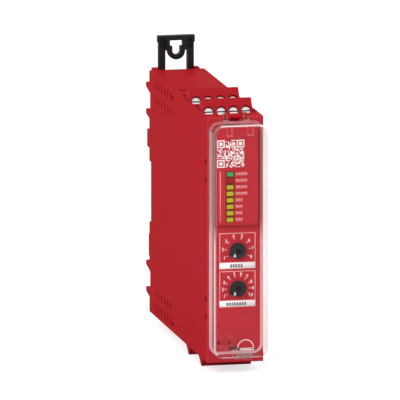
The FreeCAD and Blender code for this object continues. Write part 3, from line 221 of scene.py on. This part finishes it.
# %% [markdown]
# ## The palette
# The housing, the plug-in blocks and the front are three mouldings of slightly different red.
# The latch and the dials are black, and the metal parts are zinc, nickel and tin plated.

# %% Make the materials
PAINTS = {
    "red_housing": plastic("housing_red", HOUSING_RED, 0.55, gloss=0.01),
    "red_plate": plastic("front_red", PANEL_RED, 0.5),
    "red_panel": plastic("panel_red", PANEL_RED, 0.45),
    "red_block": plastic("block_red", BLOCK_RED, 0.5),
    "dark_bezel": plastic("bezel_dark", swatch(112, 40, 22), 0.4),
    "led_body": plastic("led_white", swatch(225, 225, 205), 0.3, grain=0.2),
    "dial_black": plastic("dial_black", swatch(24, 22, 24), 0.42, gloss=0.2),
    "switch_body": plastic("switch_black", swatch(50, 50, 54), 0.5),
    "black_plastic": plastic("latch_black", swatch(16, 16, 17), 0.4, gloss=0.3, drift=0.2),
    "header_plastic": plastic("header_black", swatch(34, 34, 34), 0.5),
    "circuit_board": plastic("board_green", swatch(22, 88, 52), 0.35, grain=0.3),
    "relay_case": plastic("relay_ivory", swatch(226, 222, 206), 0.35),
    "transformer_core": plastic("winding_tape", swatch(206, 176, 80), 0.4),
    "capacitor_can": metal("can_aluminium", swatch(190, 194, 204), 0.35),
    "chip_black": plastic("chip_black", swatch(28, 28, 30), 0.6),
    "spring_steel": metal("spring_wire", swatch(176, 176, 180), 0.25),
    "screw_steel": metal("screw_zinc", swatch(250, 250, 252), 0.35, metallic=0.5),
    "clamp_metal": metal("clamp_nickel", swatch(206, 203, 194), 0.3),
    "contact_metal": metal("contact_tin", swatch(214, 208, 190), 0.32),
}
print(len(PAINTS), "finishes")

# %% [markdown]
# ## Clear plastic
# The cover is clear and thin, and seen mostly by its edges. The edges aren't left to bent light:
# the flat walls are glass that hardly bends the view, and the rim, the foot and the small edges
# are painted in pale and dark tints that suit a view from the front left: painted highlights and
# painted shade, which stay the same from any other view. The grip is painted grey as shade. A
# lamp's shadow ray passes straight through, because thin clear plastic casts almost no shadow.


# %% Clear finish
def clear_plastic(name, coat):
    """Principled glass for what is seen, plain transparency for shadow rays. The glass bends the
    view far less than solid plastic would, whose IOR is about 1.5, so that the front reads clearly
    behind the thin cover. A coat gives its reflections."""
    material, tree, shader = new_material(name)
    set_inputs(shader, Base_Color=swatch(252, 250, 250), Roughness=0.0, IOR=1.005,
               Transmission_Weight=1.0, Coat_Weight=coat, Coat_Roughness=0.02)
    through = tree.nodes.new("ShaderNodeBsdfTransparent")
    path = tree.nodes.new("ShaderNodeLightPath")
    choose = tree.nodes.new("ShaderNodeMixShader")
    link(tree, path.outputs["Is Shadow Ray"], choose.inputs[0])
    link(tree, shader.outputs[0], choose.inputs[1])
    link(tree, through.outputs[0], choose.inputs[2])
    link(tree, choose.outputs[0], tree.nodes["Material Output"].inputs["Surface"])
    return material


def split_coords(tree, kind):
    """The X, Y and Z sockets of one kind of texture coordinate."""
    coords, split = tree.nodes.new("ShaderNodeTexCoord"), tree.nodes.new("ShaderNodeSeparateXYZ")
    link(tree, coords.outputs[kind], split.inputs[0])
    return split.outputs


def height_factor(tree, low, high):
    """A factor over Z: 0 at low, 1 at high."""
    spread = add_node(tree, "ShaderNodeMapRange", From_Min=low, From_Max=high)
    link(tree, split_coords(tree, "Object")["Z"], spread.inputs["Value"])
    return spread.outputs[0]


def upper_half(tree):
    """A factor over Z for the painted shade: 0 below the middle of the front, 1 a few millimetres above it."""
    return height_factor(tree, 0.0, 8.0 * MM)


def mix_colours(tree, factor, first, second):
    """The first colour where the factor is 0, the second where it is 1."""
    node = tree.nodes.new("ShaderNodeMix")
    node.data_type = "RGBA"
    link(tree, factor, node.inputs["Factor"])
    for socket, value in zip((node.inputs[6], node.inputs[7]), (first, second)):
        if isinstance(value, tuple):
            socket.default_value = value
        else:
            link(tree, value, socket)
    return node.outputs[2]


def clear_foot():
    """The foot of the wall, seen through the cover: a pale painted highlight, and darker beside the
    raised panel as painted shade.
    """
    material, tree, shader = new_material("cover_foot_painted_light")
    colour = mix_colours(tree, upper_half(tree), swatch(232, 160, 166), swatch(184, 98, 102))
    link(tree, colour, shader.inputs["Base Color"])
    set_inputs(shader, Roughness=0.3)
    return material


def clear_rim():
    """The rounded rim of the clear cover, painted with highlights and shade. A ramp over how far it
    turns from the eye goes from red to white, dull red and back to white at the outline, as painted
    highlights and painted reflections. The rim is painted paler on the right as a painted highlight,
    and painted dark along the left of the upper half as painted shade of the gap beside the panel."""
    material, tree, shader = new_material("cover_rim_painted_light")
    facing = add_node(tree, "ShaderNodeLayerWeight", Blend=0.5)
    ramp = tree.nodes.new("ShaderNodeValToRGB")
    link(tree, facing.outputs["Facing"], ramp.inputs[0])
    stops = ramp.color_ramp.elements
    for place, colour in RIM_PAINTED_LIGHT_STOPS:
        stops.new(place).color = colour
    stops.remove(stops[0])
    stops.remove(stops[len(stops) - 1])
    turned = split_coords(tree, "Normal")["X"]
    left = maths(tree, "LESS_THAN", turned, -SIDEWAYS)
    right = maths(tree, "GREATER_THAN", turned, SIDEWAYS)
    upper = maths(tree, "MULTIPLY", upper_half(tree), PAINTED_SHADE_SHARE)
    paler = maths(tree, "MULTIPLY", right, PAINTED_HIGHLIGHT_SHARE)
    bright = mix_colours(tree, paler, ramp.outputs["Color"], swatch(252, 248, 248))
    dark = mix_colours(tree, maths(tree, "MULTIPLY", left, upper), bright, swatch(60, 40, 40))
    link(tree, dark, shader.inputs["Base Color"])
    set_inputs(shader, Roughness=0.15)
    return material


# The rim's colours are painted light: pale stops are painted highlights and dull red ones painted shade. The
# shares set the painted shade on the upper left and the painted highlight on the right.
RIM_PAINTED_LIGHT_STOPS = ((0.03, swatch(190, 90, 94)), (0.1, swatch(255, 244, 244)),
             (0.24, swatch(228, 194, 194)), (0.45, swatch(158, 104, 106)),
             (0.78, swatch(184, 124, 126)), (0.97, swatch(240, 232, 232)))
SIDEWAYS, PAINTED_SHADE_SHARE, PAINTED_HIGHLIGHT_SHARE = 0.25, 0.75, 0.85
PAINTS["clear_plastic"] = clear_plastic("cover_clear", 0.15)
CLEAR_WALL = clear_plastic("cover_wall", 1.0)
CLEAR_RIM_PAINTED_LIGHT = clear_rim()
CLEAR_FOOT_PAINTED_LIGHT = clear_foot()
# The bevels of the clear cover are painted near white as a painted highlight along its edges.
CLEAR_EDGE_PAINTED_HIGHLIGHT = plastic("cover_edge", swatch(250, 238, 238), 0.2)
# The grip ribs of the clear cover are painted grey as painted shade.
CLEAR_GRIP_PAINTED_SHADE = plastic("cover_grip_painted_shade", swatch(138, 126, 126), 0.3)

# %% [markdown]
# ## Light guides
# Eight small windows show the state of the module. The first is green, the second dark red and
# the others yellow. One material colours them all by height, with a stepped ramp from the lowest
# window to the highest.


# %% Window colours by height
def window_ramp(tree, low, high, colours):
    """A stepped ramp over Z: each colour fills an equal share of the height from low to high."""
    ramp = tree.nodes.new("ShaderNodeValToRGB")
    ramp.color_ramp.interpolation = "CONSTANT"
    link(tree, height_factor(tree, low, high), ramp.inputs[0])
    stops = ramp.color_ramp.elements
    for index, colour in enumerate(colours):
        stop = stops[0] if index == 0 else stops.new(index / len(colours))
        stop.position = index / len(colours)
        stop.color = colour
    stops.remove(stops[len(stops) - 1])
    return ramp.outputs["Color"]


def light_guide_material():
    """Satin windows whose own colour glows a little, as a lit diffuser does."""
    material, tree, shader = new_material("light_guide")
    low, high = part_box("light_guides")
    gap = 0.5 * MM
    yellow = swatch(178, 176, 28)
    colours = [yellow] * 6 + [swatch(158, 20, 30), swatch(62, 156, 78)]
    ramp = window_ramp(tree, low[2] - gap, high[2] + gap, colours)
    link(tree, ramp, shader.inputs["Base Color"])
    link(tree, ramp, shader.inputs["Emission Color"])
    set_inputs(shader, Emission_Strength=0.05, Roughness=0.3, Specular_IOR_Level=0.1)
    return material


PAINTS["light_guide"] = light_guide_material()
for node, slot in SLOTS.items():
    mesh = frame["nodes"][node].data
    mesh.materials.clear()
    mesh.materials.append(PAINTS[slot])
print("finished", len(SLOTS), "nodes")

# %% [markdown]
# ## Rounded edges
# No moulding has a knife edge, and a rounded edge is what catches the light. A CAD node's mesh is
# left alone, so a copy of it is merged into one skin, flat areas are joined into large faces, and
# a Bevel modifier rounds every sharp edge. The widths are in millimetres.


# %% Soften a node
def merged_copy(node):
    """A copy of a node's mesh with its doubles merged and its flat areas joined."""
    mesh = frame["nodes"][node].data.copy()
    work = bmesh.new()
    work.from_mesh(mesh)
    bmesh.ops.remove_doubles(work, verts=work.verts, dist=0.002 * MM)
    bmesh.ops.dissolve_limit(work, angle_limit=math.radians(0.4), verts=work.verts,
                             edges=work.edges)
    work.to_mesh(mesh)
    work.free()
    return mesh


def soften(node, width, segments):
    """A rounded piece that stands for a CAD node: each sharp edge gets a bevel of that width."""
    piece = place_object(node + "_rounded", merged_copy(node))
    piece.data.shade_smooth()
    piece.data.set_sharp_from_angle(angle=SHARP)
    bevel = piece.modifiers.new("rounded_edges", "BEVEL")
    bevel.width = width
    bevel.segments = segments
    bevel.limit_method = "ANGLE"
    bevel.angle_limit = SHARP
    bevel.harden_normals = True
    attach(piece, BODIES[node])
    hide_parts(node)


SHARP = math.radians(30)
ROUNDINGS = {"housing_shell": (0.22, 2), "side_cover": (0.22, 2), "clear_cover": (0.26, 2),
             "front_plate": (0.15, 2), "indicator_panel": (0.3, 3), "rail_latch": (0.3, 3),
             "selector_dial_upper": (0.2, 3), "selector_dial_lower": (0.2, 3)}
for tier in TIERS:
    ROUNDINGS["terminal_block_" + tier] = (0.18, 2)
    ROUNDINGS["terminal_screws_" + tier] = (0.08, 2)
for node, (width, segments) in ROUNDINGS.items():
    soften(node, width * MM, segments)
print("rounded", len(ROUNDINGS), "nodes")

# %% [markdown]
# The faces of the clear cover get their finishes by where they lie: the outside of its side walls,
# its rounded rim, its foot at the back and the grip at its front. The rim and the foot carry painted
# highlights and painted shade, and the grip is painted grey as shade. The bevels take the painted
# highlight of the edges, and all the rest stays clear.


# %% Finishes of the cover
def face_arrays(mesh):
    """The normals, centres and areas of a mesh's faces."""
    count = len(mesh.polygons)
    arrays = [np.empty(count * 3, dtype=np.float32), np.empty(count * 3, dtype=np.float32),
              np.empty(count, dtype=np.float32)]
    for name, array in zip(("normal", "center", "area"), arrays):
        mesh.polygons.foreach_get(name, array)
    return arrays[0].reshape(-1, 3), arrays[1].reshape(-1, 3), arrays[2]


def cover_kinds(mesh, low, high):
    """The finish of each face of the cover, as a number of its material."""
    normals, centres, areas = face_arrays(mesh)
    kinds = np.full(len(areas), CLEAR, dtype=np.int32)
    beside = np.abs(centres[:, 0])
    kinds[(beside > high[0] - WALL_NEAR) & (np.abs(normals[:, 0]) > 0.9)] = WALL
    top = high[2] - ARM_RISE
    border = (beside > high[0] - BORDER) | (centres[:, 2] > top - BORDER)
    border |= centres[:, 2] < low[2] + BORDER
    border &= (centres[:, 2] < top) & (centres[:, 1] < low[1] + GRIP_PROUD + BORDER)
    kinds[(normals[:, 1] < -0.06) & (normals[:, 1] > -0.97) & border] = RIM
    back = (normals[:, 1] > 0.99) & (centres[:, 1] > low[1] + BACK_DEPTH)
    kinds[back & (areas > FOOT_AREA)] = FOOT
    kinds[centres[:, 1] < low[1] + GRIP_PROUD - 0.02 * MM] = GRIP
    return kinds


CLEAR, WALL, RIM, FOOT, EDGE, GRIP = range(6)
WALL_NEAR, BORDER, BACK_DEPTH = 0.1 * MM, 1.3 * MM, 8 * MM
ARM_RISE, GRIP_PROUD, FOOT_AREA = 2.9 * MM, 0.3 * MM, 10 * MM * MM
cover = bpy.data.objects["clear_cover_rounded"]
for material in (CLEAR_WALL, CLEAR_RIM_PAINTED_LIGHT, CLEAR_FOOT_PAINTED_LIGHT, CLEAR_EDGE_PAINTED_HIGHLIGHT, CLEAR_GRIP_PAINTED_SHADE):
    cover.data.materials.append(material)
cover.modifiers["rounded_edges"].material = EDGE
kinds = cover_kinds(cover.data, *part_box("clear_cover"))
cover.data.polygons.foreach_set("material_index", kinds)
print("faces of each finish:", np.bincount(kinds).tolist())

# %% [markdown]
# The driver slot of a screw is deep and narrow, and reads as a black line. Its two sides and its
# floor get a near-black colour, painted shade that stands in for the shade inside the slot. The
# sides are found by their normals, which point across the slot, and the floor by its depth below
# the head.

# %% Dark slots
SCREW_LEAN = math.radians(35)
SIDE_AREA = 1.5e-6  # the least area of a slot's side in square metres
FLOOR_DEPTHS = 0.4 * MM, 1.2 * MM


def darken_slots(tier):
    """Gives the slot faces of one row of screws the painted shade."""
    mesh = bpy.data.objects["terminal_screws_" + tier + "_rounded"].data
    rise = 1 if tier.startswith("top") else -1
    axis = np.array([0, -math.cos(SCREW_LEAN), rise * math.sin(SCREW_LEAN)])
    across = np.array([0, math.sin(SCREW_LEAN), rise * math.cos(SCREW_LEAN)])
    normals, centres, areas = face_arrays(mesh)
    depth = (centres @ axis).max() - centres @ axis
    sides = (np.abs(normals @ across) > 0.97) & (areas > SIDE_AREA)
    bottom = (normals @ axis > 0.97) & (depth > FLOOR_DEPTHS[0]) & (depth < FLOOR_DEPTHS[1])
    mesh.materials.append(SLOT_PAINTED_SHADE)
    mesh.polygons.foreach_set("material_index", (sides | bottom).astype(np.int32))
    return int(sides.sum()), int(bottom.sum())


# Near-black painted shade for the screw slots.
SLOT_PAINTED_SHADE = plastic("slot_painted_shade", swatch(18, 16, 17), 0.6)
for tier in TIERS:
    print(tier, darken_slots(tier))

# %% [markdown]
# ## Print
# Ink lies on the front as thin flat shapes. Each is made as a slab a few hundredths of a
# millimetre thick, standing on the surface, so that it shows in a plain mesh as well as in a
# render. All the slabs of one piece are worked out together as arrays.

# %% Slabs of ink
INK = 0.03 * MM
PANEL_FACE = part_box("indicator_panel")[0][1]
PLATE_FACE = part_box("front_plate")[0][1]


def add_mesh(name, points, faces, material, body):
    """A mesh piece from arrays of points and of equal-sided faces, riding on a body."""
    mesh = bpy.data.meshes.new(name)
    sides = faces.shape[1]
    mesh.vertices.add(len(points))
    mesh.vertices.foreach_set("co", points.astype(np.float32).ravel())
    mesh.loops.add(faces.size)
    mesh.loops.foreach_set("vertex_index", faces.astype(np.int32).ravel())
    mesh.polygons.add(len(faces))
    mesh.polygons.foreach_set("loop_start", np.arange(0, faces.size, sides, dtype=np.int32))
    mesh.polygons.foreach_set("loop_total", np.full(len(faces), sides, dtype=np.int32))
    mesh.update(calc_edges=True)
    mesh.validate()
    mesh.materials.append(material)
    piece = place_object(name, mesh)
    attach(piece, body)


def slab_arrays(corners, face_y):
    """Slabs from (n, 4, 2) corners in X and Z, counter-clockwise from the front: the front face
    stands one thickness of ink before face_y and the back lies on it."""
    count = len(corners)
    front = np.insert(corners, 1, face_y - INK, axis=2)
    back = np.insert(corners, 1, face_y, axis=2)
    points = np.concatenate([front, back], axis=1).reshape(-1, 3)
    pattern = np.array([[0, 1, 2, 3], [7, 6, 5, 4], [0, 4, 5, 1],
                        [1, 5, 6, 2], [2, 6, 7, 3], [3, 7, 4, 0]])
    faces = (pattern[None] + 8 * np.arange(count)[:, None, None]).reshape(-1, 4)
    return points, faces


def rectangles(boxes):
    """(n, 4, 2) corners of upright rectangles given as low X, low Z, high X, high Z."""
    boxes = np.asarray(boxes, dtype=float)
    low_x, low_z, high_x, high_z = boxes.T
    return np.stack([np.stack([low_x, low_z], 1), np.stack([high_x, low_z], 1),
                     np.stack([high_x, high_z], 1), np.stack([low_x, high_z], 1)], axis=1)


def ink(name, corners, face_y, material, body="housing"):
    """A printed piece of many slabs."""
    points, faces = slab_arrays(np.asarray(corners), face_y)
    add_mesh(name, points, faces, material, body)


INK_WHITE, INK_PINK, INK_FAINT, INK_GREY = (
    plastic("ink_" + name, colour, 0.5, grain=0.2, drift=0.03) for name, colour in (
        ("white", PRINT_WHITE), ("pink", PRINT_PINK), ("faint", swatch(224, 146, 150)),
        ("grey", swatch(120, 122, 120))))


def row(start_x, centre_z, count, width, height, gap):
    """Corners of a row of equal blocks, as lettering looks when it is too small to read."""
    lefts = start_x + (width + gap) * np.arange(count)
    flat = np.full(count, centre_z)
    low, high = flat - height / 2, flat + height / 2
    return rectangles(np.stack([lefts, low, lefts + width, high], axis=1))


def outline(low_x, low_z, high_x, high_z, line):
    """Corners of the four bars of a rectangular frame."""
    return rectangles([(low_x, low_z, high_x, low_z + line), (low_x, high_z - line, high_x, high_z),
                       (low_x, low_z + line, low_x + line, high_z - line),
                       (high_x - line, low_z + line, high_x, high_z - line)])


# %% [markdown]
# ## The square pattern
# A square of small cells is printed at the top of the panel. Here it is only an ornament: three
# nested squares sit in its corners and the rest is drawn at random from a fixed seed, so it holds
# no message.

# %% Cells of the pattern
CELLS, CORNER, INKED_SHARE = 25, 7, 0.52


def pattern_cells(seed=41):
    """Which cells are inked: about half of them at random, and nested squares in blank corners."""
    inked = np.random.default_rng(seed).random((CELLS, CELLS)) < INKED_SHARE
    ring = np.arange(CORNER)
    steps = np.minimum(ring, CORNER - 1 - ring)
    nested = np.minimum.outer(steps, steps) != 1
    near, far = slice(0, CORNER), slice(CELLS - CORNER, CELLS)
    for rows, columns in ((far, near), (far, far), (near, near)):
        wide_rows = slice(max(rows.start - 1, 0), rows.stop + 1)
        wide_columns = slice(max(columns.start - 1, 0), columns.stop + 1)
        inked[wide_rows, wide_columns] = False
        inked[rows, columns] = nested
    return inked


panel_low, panel_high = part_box("indicator_panel")
PATTERN_SIDE = 10.95 * MM
pattern_x = panel_low[0] + 0.6 * MM
pattern_z = panel_high[2] - 16.45 * MM
cell = PATTERN_SIDE / CELLS
rows_z, columns_x = np.nonzero(pattern_cells())
cells_low = np.stack([pattern_x + columns_x * cell, pattern_z + rows_z * cell], axis=1)
ink("square_pattern", rectangles(np.hstack([cells_low, cells_low + cell])), PANEL_FACE, INK_WHITE)
print(len(cells_low), "cells inked")

# %% [markdown]
# ## Marks beside the lights
# Each window has a short label on its right, and a thin line runs down their left. The labels
# are rows of plain blocks of the size that lettering has there.

# %% Labels of the windows
guide_low, guide_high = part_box("light_guides")
GUIDES, GUIDE_HEIGHT = 8, 1.6 * MM
guide_pitch = (guide_high[2] - guide_low[2] - GUIDE_HEIGHT) / (GUIDES - 1)
label_lengths = (5, 5, 5, 5, 3, 3, 3, 3)
LETTER_WIDTH, LETTER_HEIGHT, LETTER_GAP = 0.72 * MM, 1.2 * MM, 0.24 * MM
label_x, first_z = guide_high[0] + 1.0 * MM, guide_high[2] - GUIDE_HEIGHT / 2
labels = [row(label_x, first_z - place * guide_pitch, count, LETTER_WIDTH, LETTER_HEIGHT,
              LETTER_GAP) for place, count in enumerate(label_lengths)]
ink("window_labels", np.concatenate(labels), PANEL_FACE, INK_FAINT)
line_x = guide_low[0] - 2.8 * MM
ink("side_line", rectangles([(line_x, guide_low[2], line_x + 0.25 * MM, guide_high[2] + 0.5 * MM)]),
    PANEL_FACE, INK_PINK)

# %% [markdown]
# ## Dial scales
# Each dial has a scale of ticks and numbers round it, inside a thin frame with a white bar below.
# The words on the bar are rows of plain blocks.
# The first mark is where the pointer rests, and the marks go clockwise over the whole range of
# the joint, so the angles come from the joint itself.

# %% Ticks
RANGES = {joint["name"]: joint for joint in frame["joints"]}
FIRST_MARK = math.radians(208)
TICK_NEAR, TICK_FAR, NUMBER_OUT = 4.55 * MM, 5.3 * MM, 6.05 * MM
FRAME_WIDTH, FRAME_RISE = 14.5 * MM, 7.0 * MM
FRAME_FALL, BAR_HEIGHT, LINE = 5.0 * MM, 2.4 * MM, 0.25 * MM
TICK_HALF = 0.17  # half the width of a tick in millimetres


def mark_angles(joint, count):
    """Angles of the marks, counter-clockwise from the right as seen from the front."""
    sweep = math.radians(joint["range_deg"][1] - joint["range_deg"][0])
    return FIRST_MARK - sweep * np.arange(count) / (count - 1)


def tick_corners(centre, angles):
    """A thin bar along the radius at each angle."""
    along = np.stack([np.cos(angles), np.sin(angles)], axis=1)
    across = np.stack([-along[:, 1], along[:, 0]], axis=1) * TICK_HALF * MM
    near, far = centre + along * TICK_NEAR, centre + along * TICK_FAR
    return np.stack([near - across, far - across, far + across, near + across], axis=1)


# %% [markdown]
# The numbers are real text, turned into a mesh so that the model can be exported. They face the
# front, so the flat text, drawn in X and Y, is stood up by swapping Y for Z.


# %% Numbers
def number_mesh(work, text, centre, height):
    """Adds one upright number to a bmesh, centred on a point of the front plate."""
    curve = bpy.data.curves.new("number", "FONT")
    curve.body = text
    curve.size = height / CAP_SHARE
    curve.extrude = INK / 2
    curve.resolution_u = 2
    curve.align_x, curve.align_y = "CENTER", "CENTER"
    drawn = bpy.data.objects.new("number", curve)
    mesh = drawn.to_mesh().copy()
    flat = np.empty(len(mesh.vertices) * 3, dtype=np.float32)
    mesh.vertices.foreach_get("co", flat)
    flat = flat.reshape(-1, 3)
    middle = (flat.min(axis=0) + flat.max(axis=0)) / 2
    placed = np.stack([flat[:, 0] - middle[0] + centre[0], PLATE_FACE - INK / 2 - flat[:, 2],
                       flat[:, 1] - middle[1] + centre[1]], axis=1)
    mesh.vertices.foreach_set("co", placed.astype(np.float32).ravel())
    work.from_mesh(mesh)
    bpy.data.objects.remove(drawn)
    bpy.data.curves.remove(curve)
    bpy.data.meshes.remove(mesh)


CAP_SHARE = 0.7
NUMBER_HEIGHT = 1.3 * MM


def dial_scale(name, joint_name, count, letters):
    """The printed scale of one dial: ticks and frame, bar, blocks on the bar and numbers."""
    joint = RANGES[joint_name]
    centre = np.array([joint["pos_m"][0], joint["pos_m"][2]])
    angles = mark_angles(joint, count)
    middle = centre[0] - 0.15 * MM
    low_x, high_x = middle - FRAME_WIDTH / 2, middle + FRAME_WIDTH / 2
    top, bottom = centre[1] + FRAME_RISE, centre[1] - FRAME_FALL
    bars = outline(low_x, bottom, high_x, top, LINE)
    ticks = tick_corners(centre, angles)
    ink(name + "_marks", np.concatenate([ticks, bars]), PLATE_FACE, INK_PINK)
    bar = rectangles([(low_x, bottom - BAR_HEIGHT, high_x, bottom)])
    ink(name + "_bar", bar, PLATE_FACE, INK_WHITE)
    start_x = middle - letters * 1.05 * MM / 2 - 0.3 * MM
    blocks = row(start_x, bottom - BAR_HEIGHT / 2, letters, 0.75 * MM, 1.3 * MM, 0.3 * MM)
    ink(name + "_bar_blocks", blocks, PLATE_FACE - INK, INK_GREY)
    work = bmesh.new()
    for number, angle in enumerate(angles, start=1):
        out = centre + NUMBER_OUT * np.array([math.cos(angle), math.sin(angle)])
        number_mesh(work, str(number), out, NUMBER_HEIGHT)
    mesh = bpy.data.meshes.new(name + "_numbers")
    work.to_mesh(mesh)
    work.free()
    mesh.materials.clear()
    mesh.materials.append(INK_WHITE)
    piece = place_object(name + "_numbers", mesh)
    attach(piece, "housing")
    return len(mesh.vertices)


print("number vertices:", dial_scale("upper_scale", "dial_upper_turn", 8, 5),
      dial_scale("lower_scale", "dial_lower_turn", 10, 8))

# %% [markdown]
# Names are left off, so the plate below the dials is bare but for a simple drawing of a lamp, a
# dome on two bars. The bars start beside the slot of the cover's snap tongue, so that no ink hangs
# over the opening.


# %% Plain marks
def arch(centre_x, base_z, radius, line, steps=24):
    """Corners of a half ring, a little taller than round: equal wedges between two radii, from
    the right over to the left."""
    angles = np.linspace(0, math.pi, steps + 1)
    rim = np.stack([np.cos(angles), np.sin(angles) * DOME_STRETCH], axis=1)
    middle = np.array([centre_x, base_z])
    inner, outer = middle + rim * (radius - line), middle + rim * radius
    return np.stack([inner[:-1], outer[:-1], outer[1:], inner[1:]], axis=1)


DOME_STRETCH = 1.05
dome = np.concatenate([arch(4.0 * MM, -43.7 * MM, 3.4 * MM, 0.3 * MM),
                       rectangles([(1.6 * MM, -43.85 * MM, 7.4 * MM, -43.55 * MM),
                                   (1.6 * MM, -44.6 * MM, 7.4 * MM, -44.1 * MM)])])
ink("dome_mark", dome, PLATE_FACE, INK_WHITE)

# %% [markdown]
# A small white triangle on each knob shows where it points. Its tip is cut a hair short, so it has
# four corners like every other slab. A black cross in the middle is painted shade, standing for the
# shade in the cross that takes a screwdriver.


# %% Pointer marks
def pointer_mark(name, dial, body, joint_name):
    """A white triangle on the dial's face, towards its pointer, and a cross of painted shade at its middle."""
    joint, face_y = RANGES[joint_name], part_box(dial)[0][1]
    centre = np.array([joint["pos_m"][0] - 1.5 * MM, joint["pos_m"][2] - 1.7 * MM])
    half, rise, tip = 0.55 * MM, 0.75 * MM, 0.02 * MM
    corners = centre + np.array([[-half, -rise], [half, -rise], [tip, rise], [-tip, rise]])
    ink(name, corners[None], face_y, INK_WHITE, body)
    hub = np.array([joint["pos_m"][0], joint["pos_m"][2]])
    cross = []
    for turn in CROSS_TURNS:
        cosine, sine = math.cos(turn), math.sin(turn)
        cross.append(hub + CROSS_ARM @ np.array([[cosine, sine], [-sine, cosine]]))
    ink(name + "_cross_painted_shade", np.array(cross), face_y, CROSS_PAINTED_SHADE, body)


CROSS_ARM = np.array([[-1.35, -0.22], [1.35, -0.22], [1.35, 0.22], [-1.35, 0.22]]) * MM
CROSS_TURNS = math.radians(48), math.radians(138)
# Near-black painted shade for the cross in each knob.
CROSS_PAINTED_SHADE = plastic("cross_painted_shade", swatch(8, 8, 8), 0.6)
pointer_mark("upper_pointer_mark", "selector_dial_upper", "dial_upper", "dial_upper_turn")
pointer_mark("lower_pointer_mark", "selector_dial_lower", "dial_lower", "dial_lower_turn")

# %% [markdown]
# ## Camera
# A long lens from several metres away keeps the sides of the module nearly parallel. The camera
# looks at a point near the middle of the module, shifted a little to centre its outline.

# %% Camera
MIDDLE = Vector((0, -60 * MM, 0))
SHIFT_LEFT, SHIFT_UP = 3.38 * MM, 6.69 * MM
AZIMUTH, ELEVATION = math.radians(-12.28), math.radians(10.6)
DISTANCE, LENS = 5.5, 1243.9
forward = Vector((-math.sin(AZIMUTH) * math.cos(ELEVATION),
                  math.cos(AZIMUTH) * math.cos(ELEVATION), -math.sin(ELEVATION)))
right = Vector((math.cos(AZIMUTH), math.sin(AZIMUTH), 0))
target = MIDDLE - right * SHIFT_LEFT + right.cross(forward) * SHIFT_UP
camera_data = bpy.data.cameras.new("camera")
camera_data.lens = LENS
camera_data.clip_end = 20
camera = place_object("camera", camera_data)
camera.location = target - forward * DISTANCE
camera.rotation_euler = forward.to_track_quat("-Z", "Y").to_euler()
bpy.context.scene.camera = camera

# %% [markdown]
# ## Floor and light
# The module stands on a pale floor in a white room. The world is an even white, two large soft
# lamps add some shape, and their sum lights a face at about the level at which its colour is
# written.


# %% Floor
FLOOR_GLOW = 0.65


def seen_directly(tree):
    """1 for a ray from the camera, straight or through the clear cover, and 0 for all others."""
    path = tree.nodes.new("ShaderNodeLightPath").outputs
    seen = maths(tree, "MAXIMUM", path["Is Camera Ray"], path["Is Transmission Ray"])
    return maths(tree, "MULTIPLY", seen, maths(tree, "LESS_THAN", path["Diffuse Depth"], 0.5))


def floor_material():
    """Pale and matt, with just enough glow towards the camera that only shadows stay darker."""
    material, tree, shader = new_material("floor_pale")
    set_inputs(shader, Base_Color=swatch(205, 205, 205), Roughness=0.9, Specular_IOR_Level=0.0)
    glow = tree.nodes.new("ShaderNodeEmission")
    link(tree, maths(tree, "MULTIPLY", seen_directly(tree), FLOOR_GLOW), glow.inputs["Strength"])
    both = tree.nodes.new("ShaderNodeAddShader")
    link(tree, shader.outputs[0], both.inputs[0])
    link(tree, glow.outputs[0], both.inputs[1])
    link(tree, both.outputs[0], tree.nodes["Material Output"].inputs["Surface"])
    return material


floor_level = cad_box[0][2]
HALF_FLOOR = 3.0
corners = [(x * HALF_FLOOR, y * HALF_FLOOR, floor_level)
           for x, y in ((-1, -1), (1, -1), (1, 1), (-1, 1))]
floor_mesh = bpy.data.meshes.new("floor")
floor_mesh.from_pydata(corners, [], [(0, 1, 2, 3)])
floor_mesh.materials.append(floor_material())
floor = place_object("floor", floor_mesh)

# %% [markdown]
# The room lights the module a little less than full white, and only looks full white where the
# camera sees it. The larger share of the lamps' light comes from the front left.

# %% Room and lamps
ROOM = 0.85
world = bpy.data.worlds.new("room")
world.use_nodes = True
bpy.context.scene.world = world
room = world.node_tree
background = room.nodes["Background"]
background.inputs["Color"].default_value = (1, 1, 1, 1)
boost = maths(room, "MULTIPLY", seen_directly(room), 1 - ROOM)
link(room, maths(room, "ADD", boost, ROOM), background.inputs["Strength"])


def soft_lamp(name, place, watts):
    """A square soft lamp aimed at the module."""
    data = bpy.data.lights.new(name, "AREA")
    data.shape = "SQUARE"
    data.size = LAMP_SIDE
    data.energy = watts
    lamp = place_object(name, data)
    lamp.location = place
    lamp.rotation_euler = (MIDDLE - lamp.location).to_track_quat("-Z", "Y").to_euler()


LAMP_SIDE = 0.7
soft_lamp("key_lamp", Vector((-1.2, -0.9, 0.8)), 10.0)
soft_lamp("fill_lamp", Vector((0.9, -0.9, 0.5)), 2.0)

bpy.context.scene.view_settings.view_transform = "Standard"
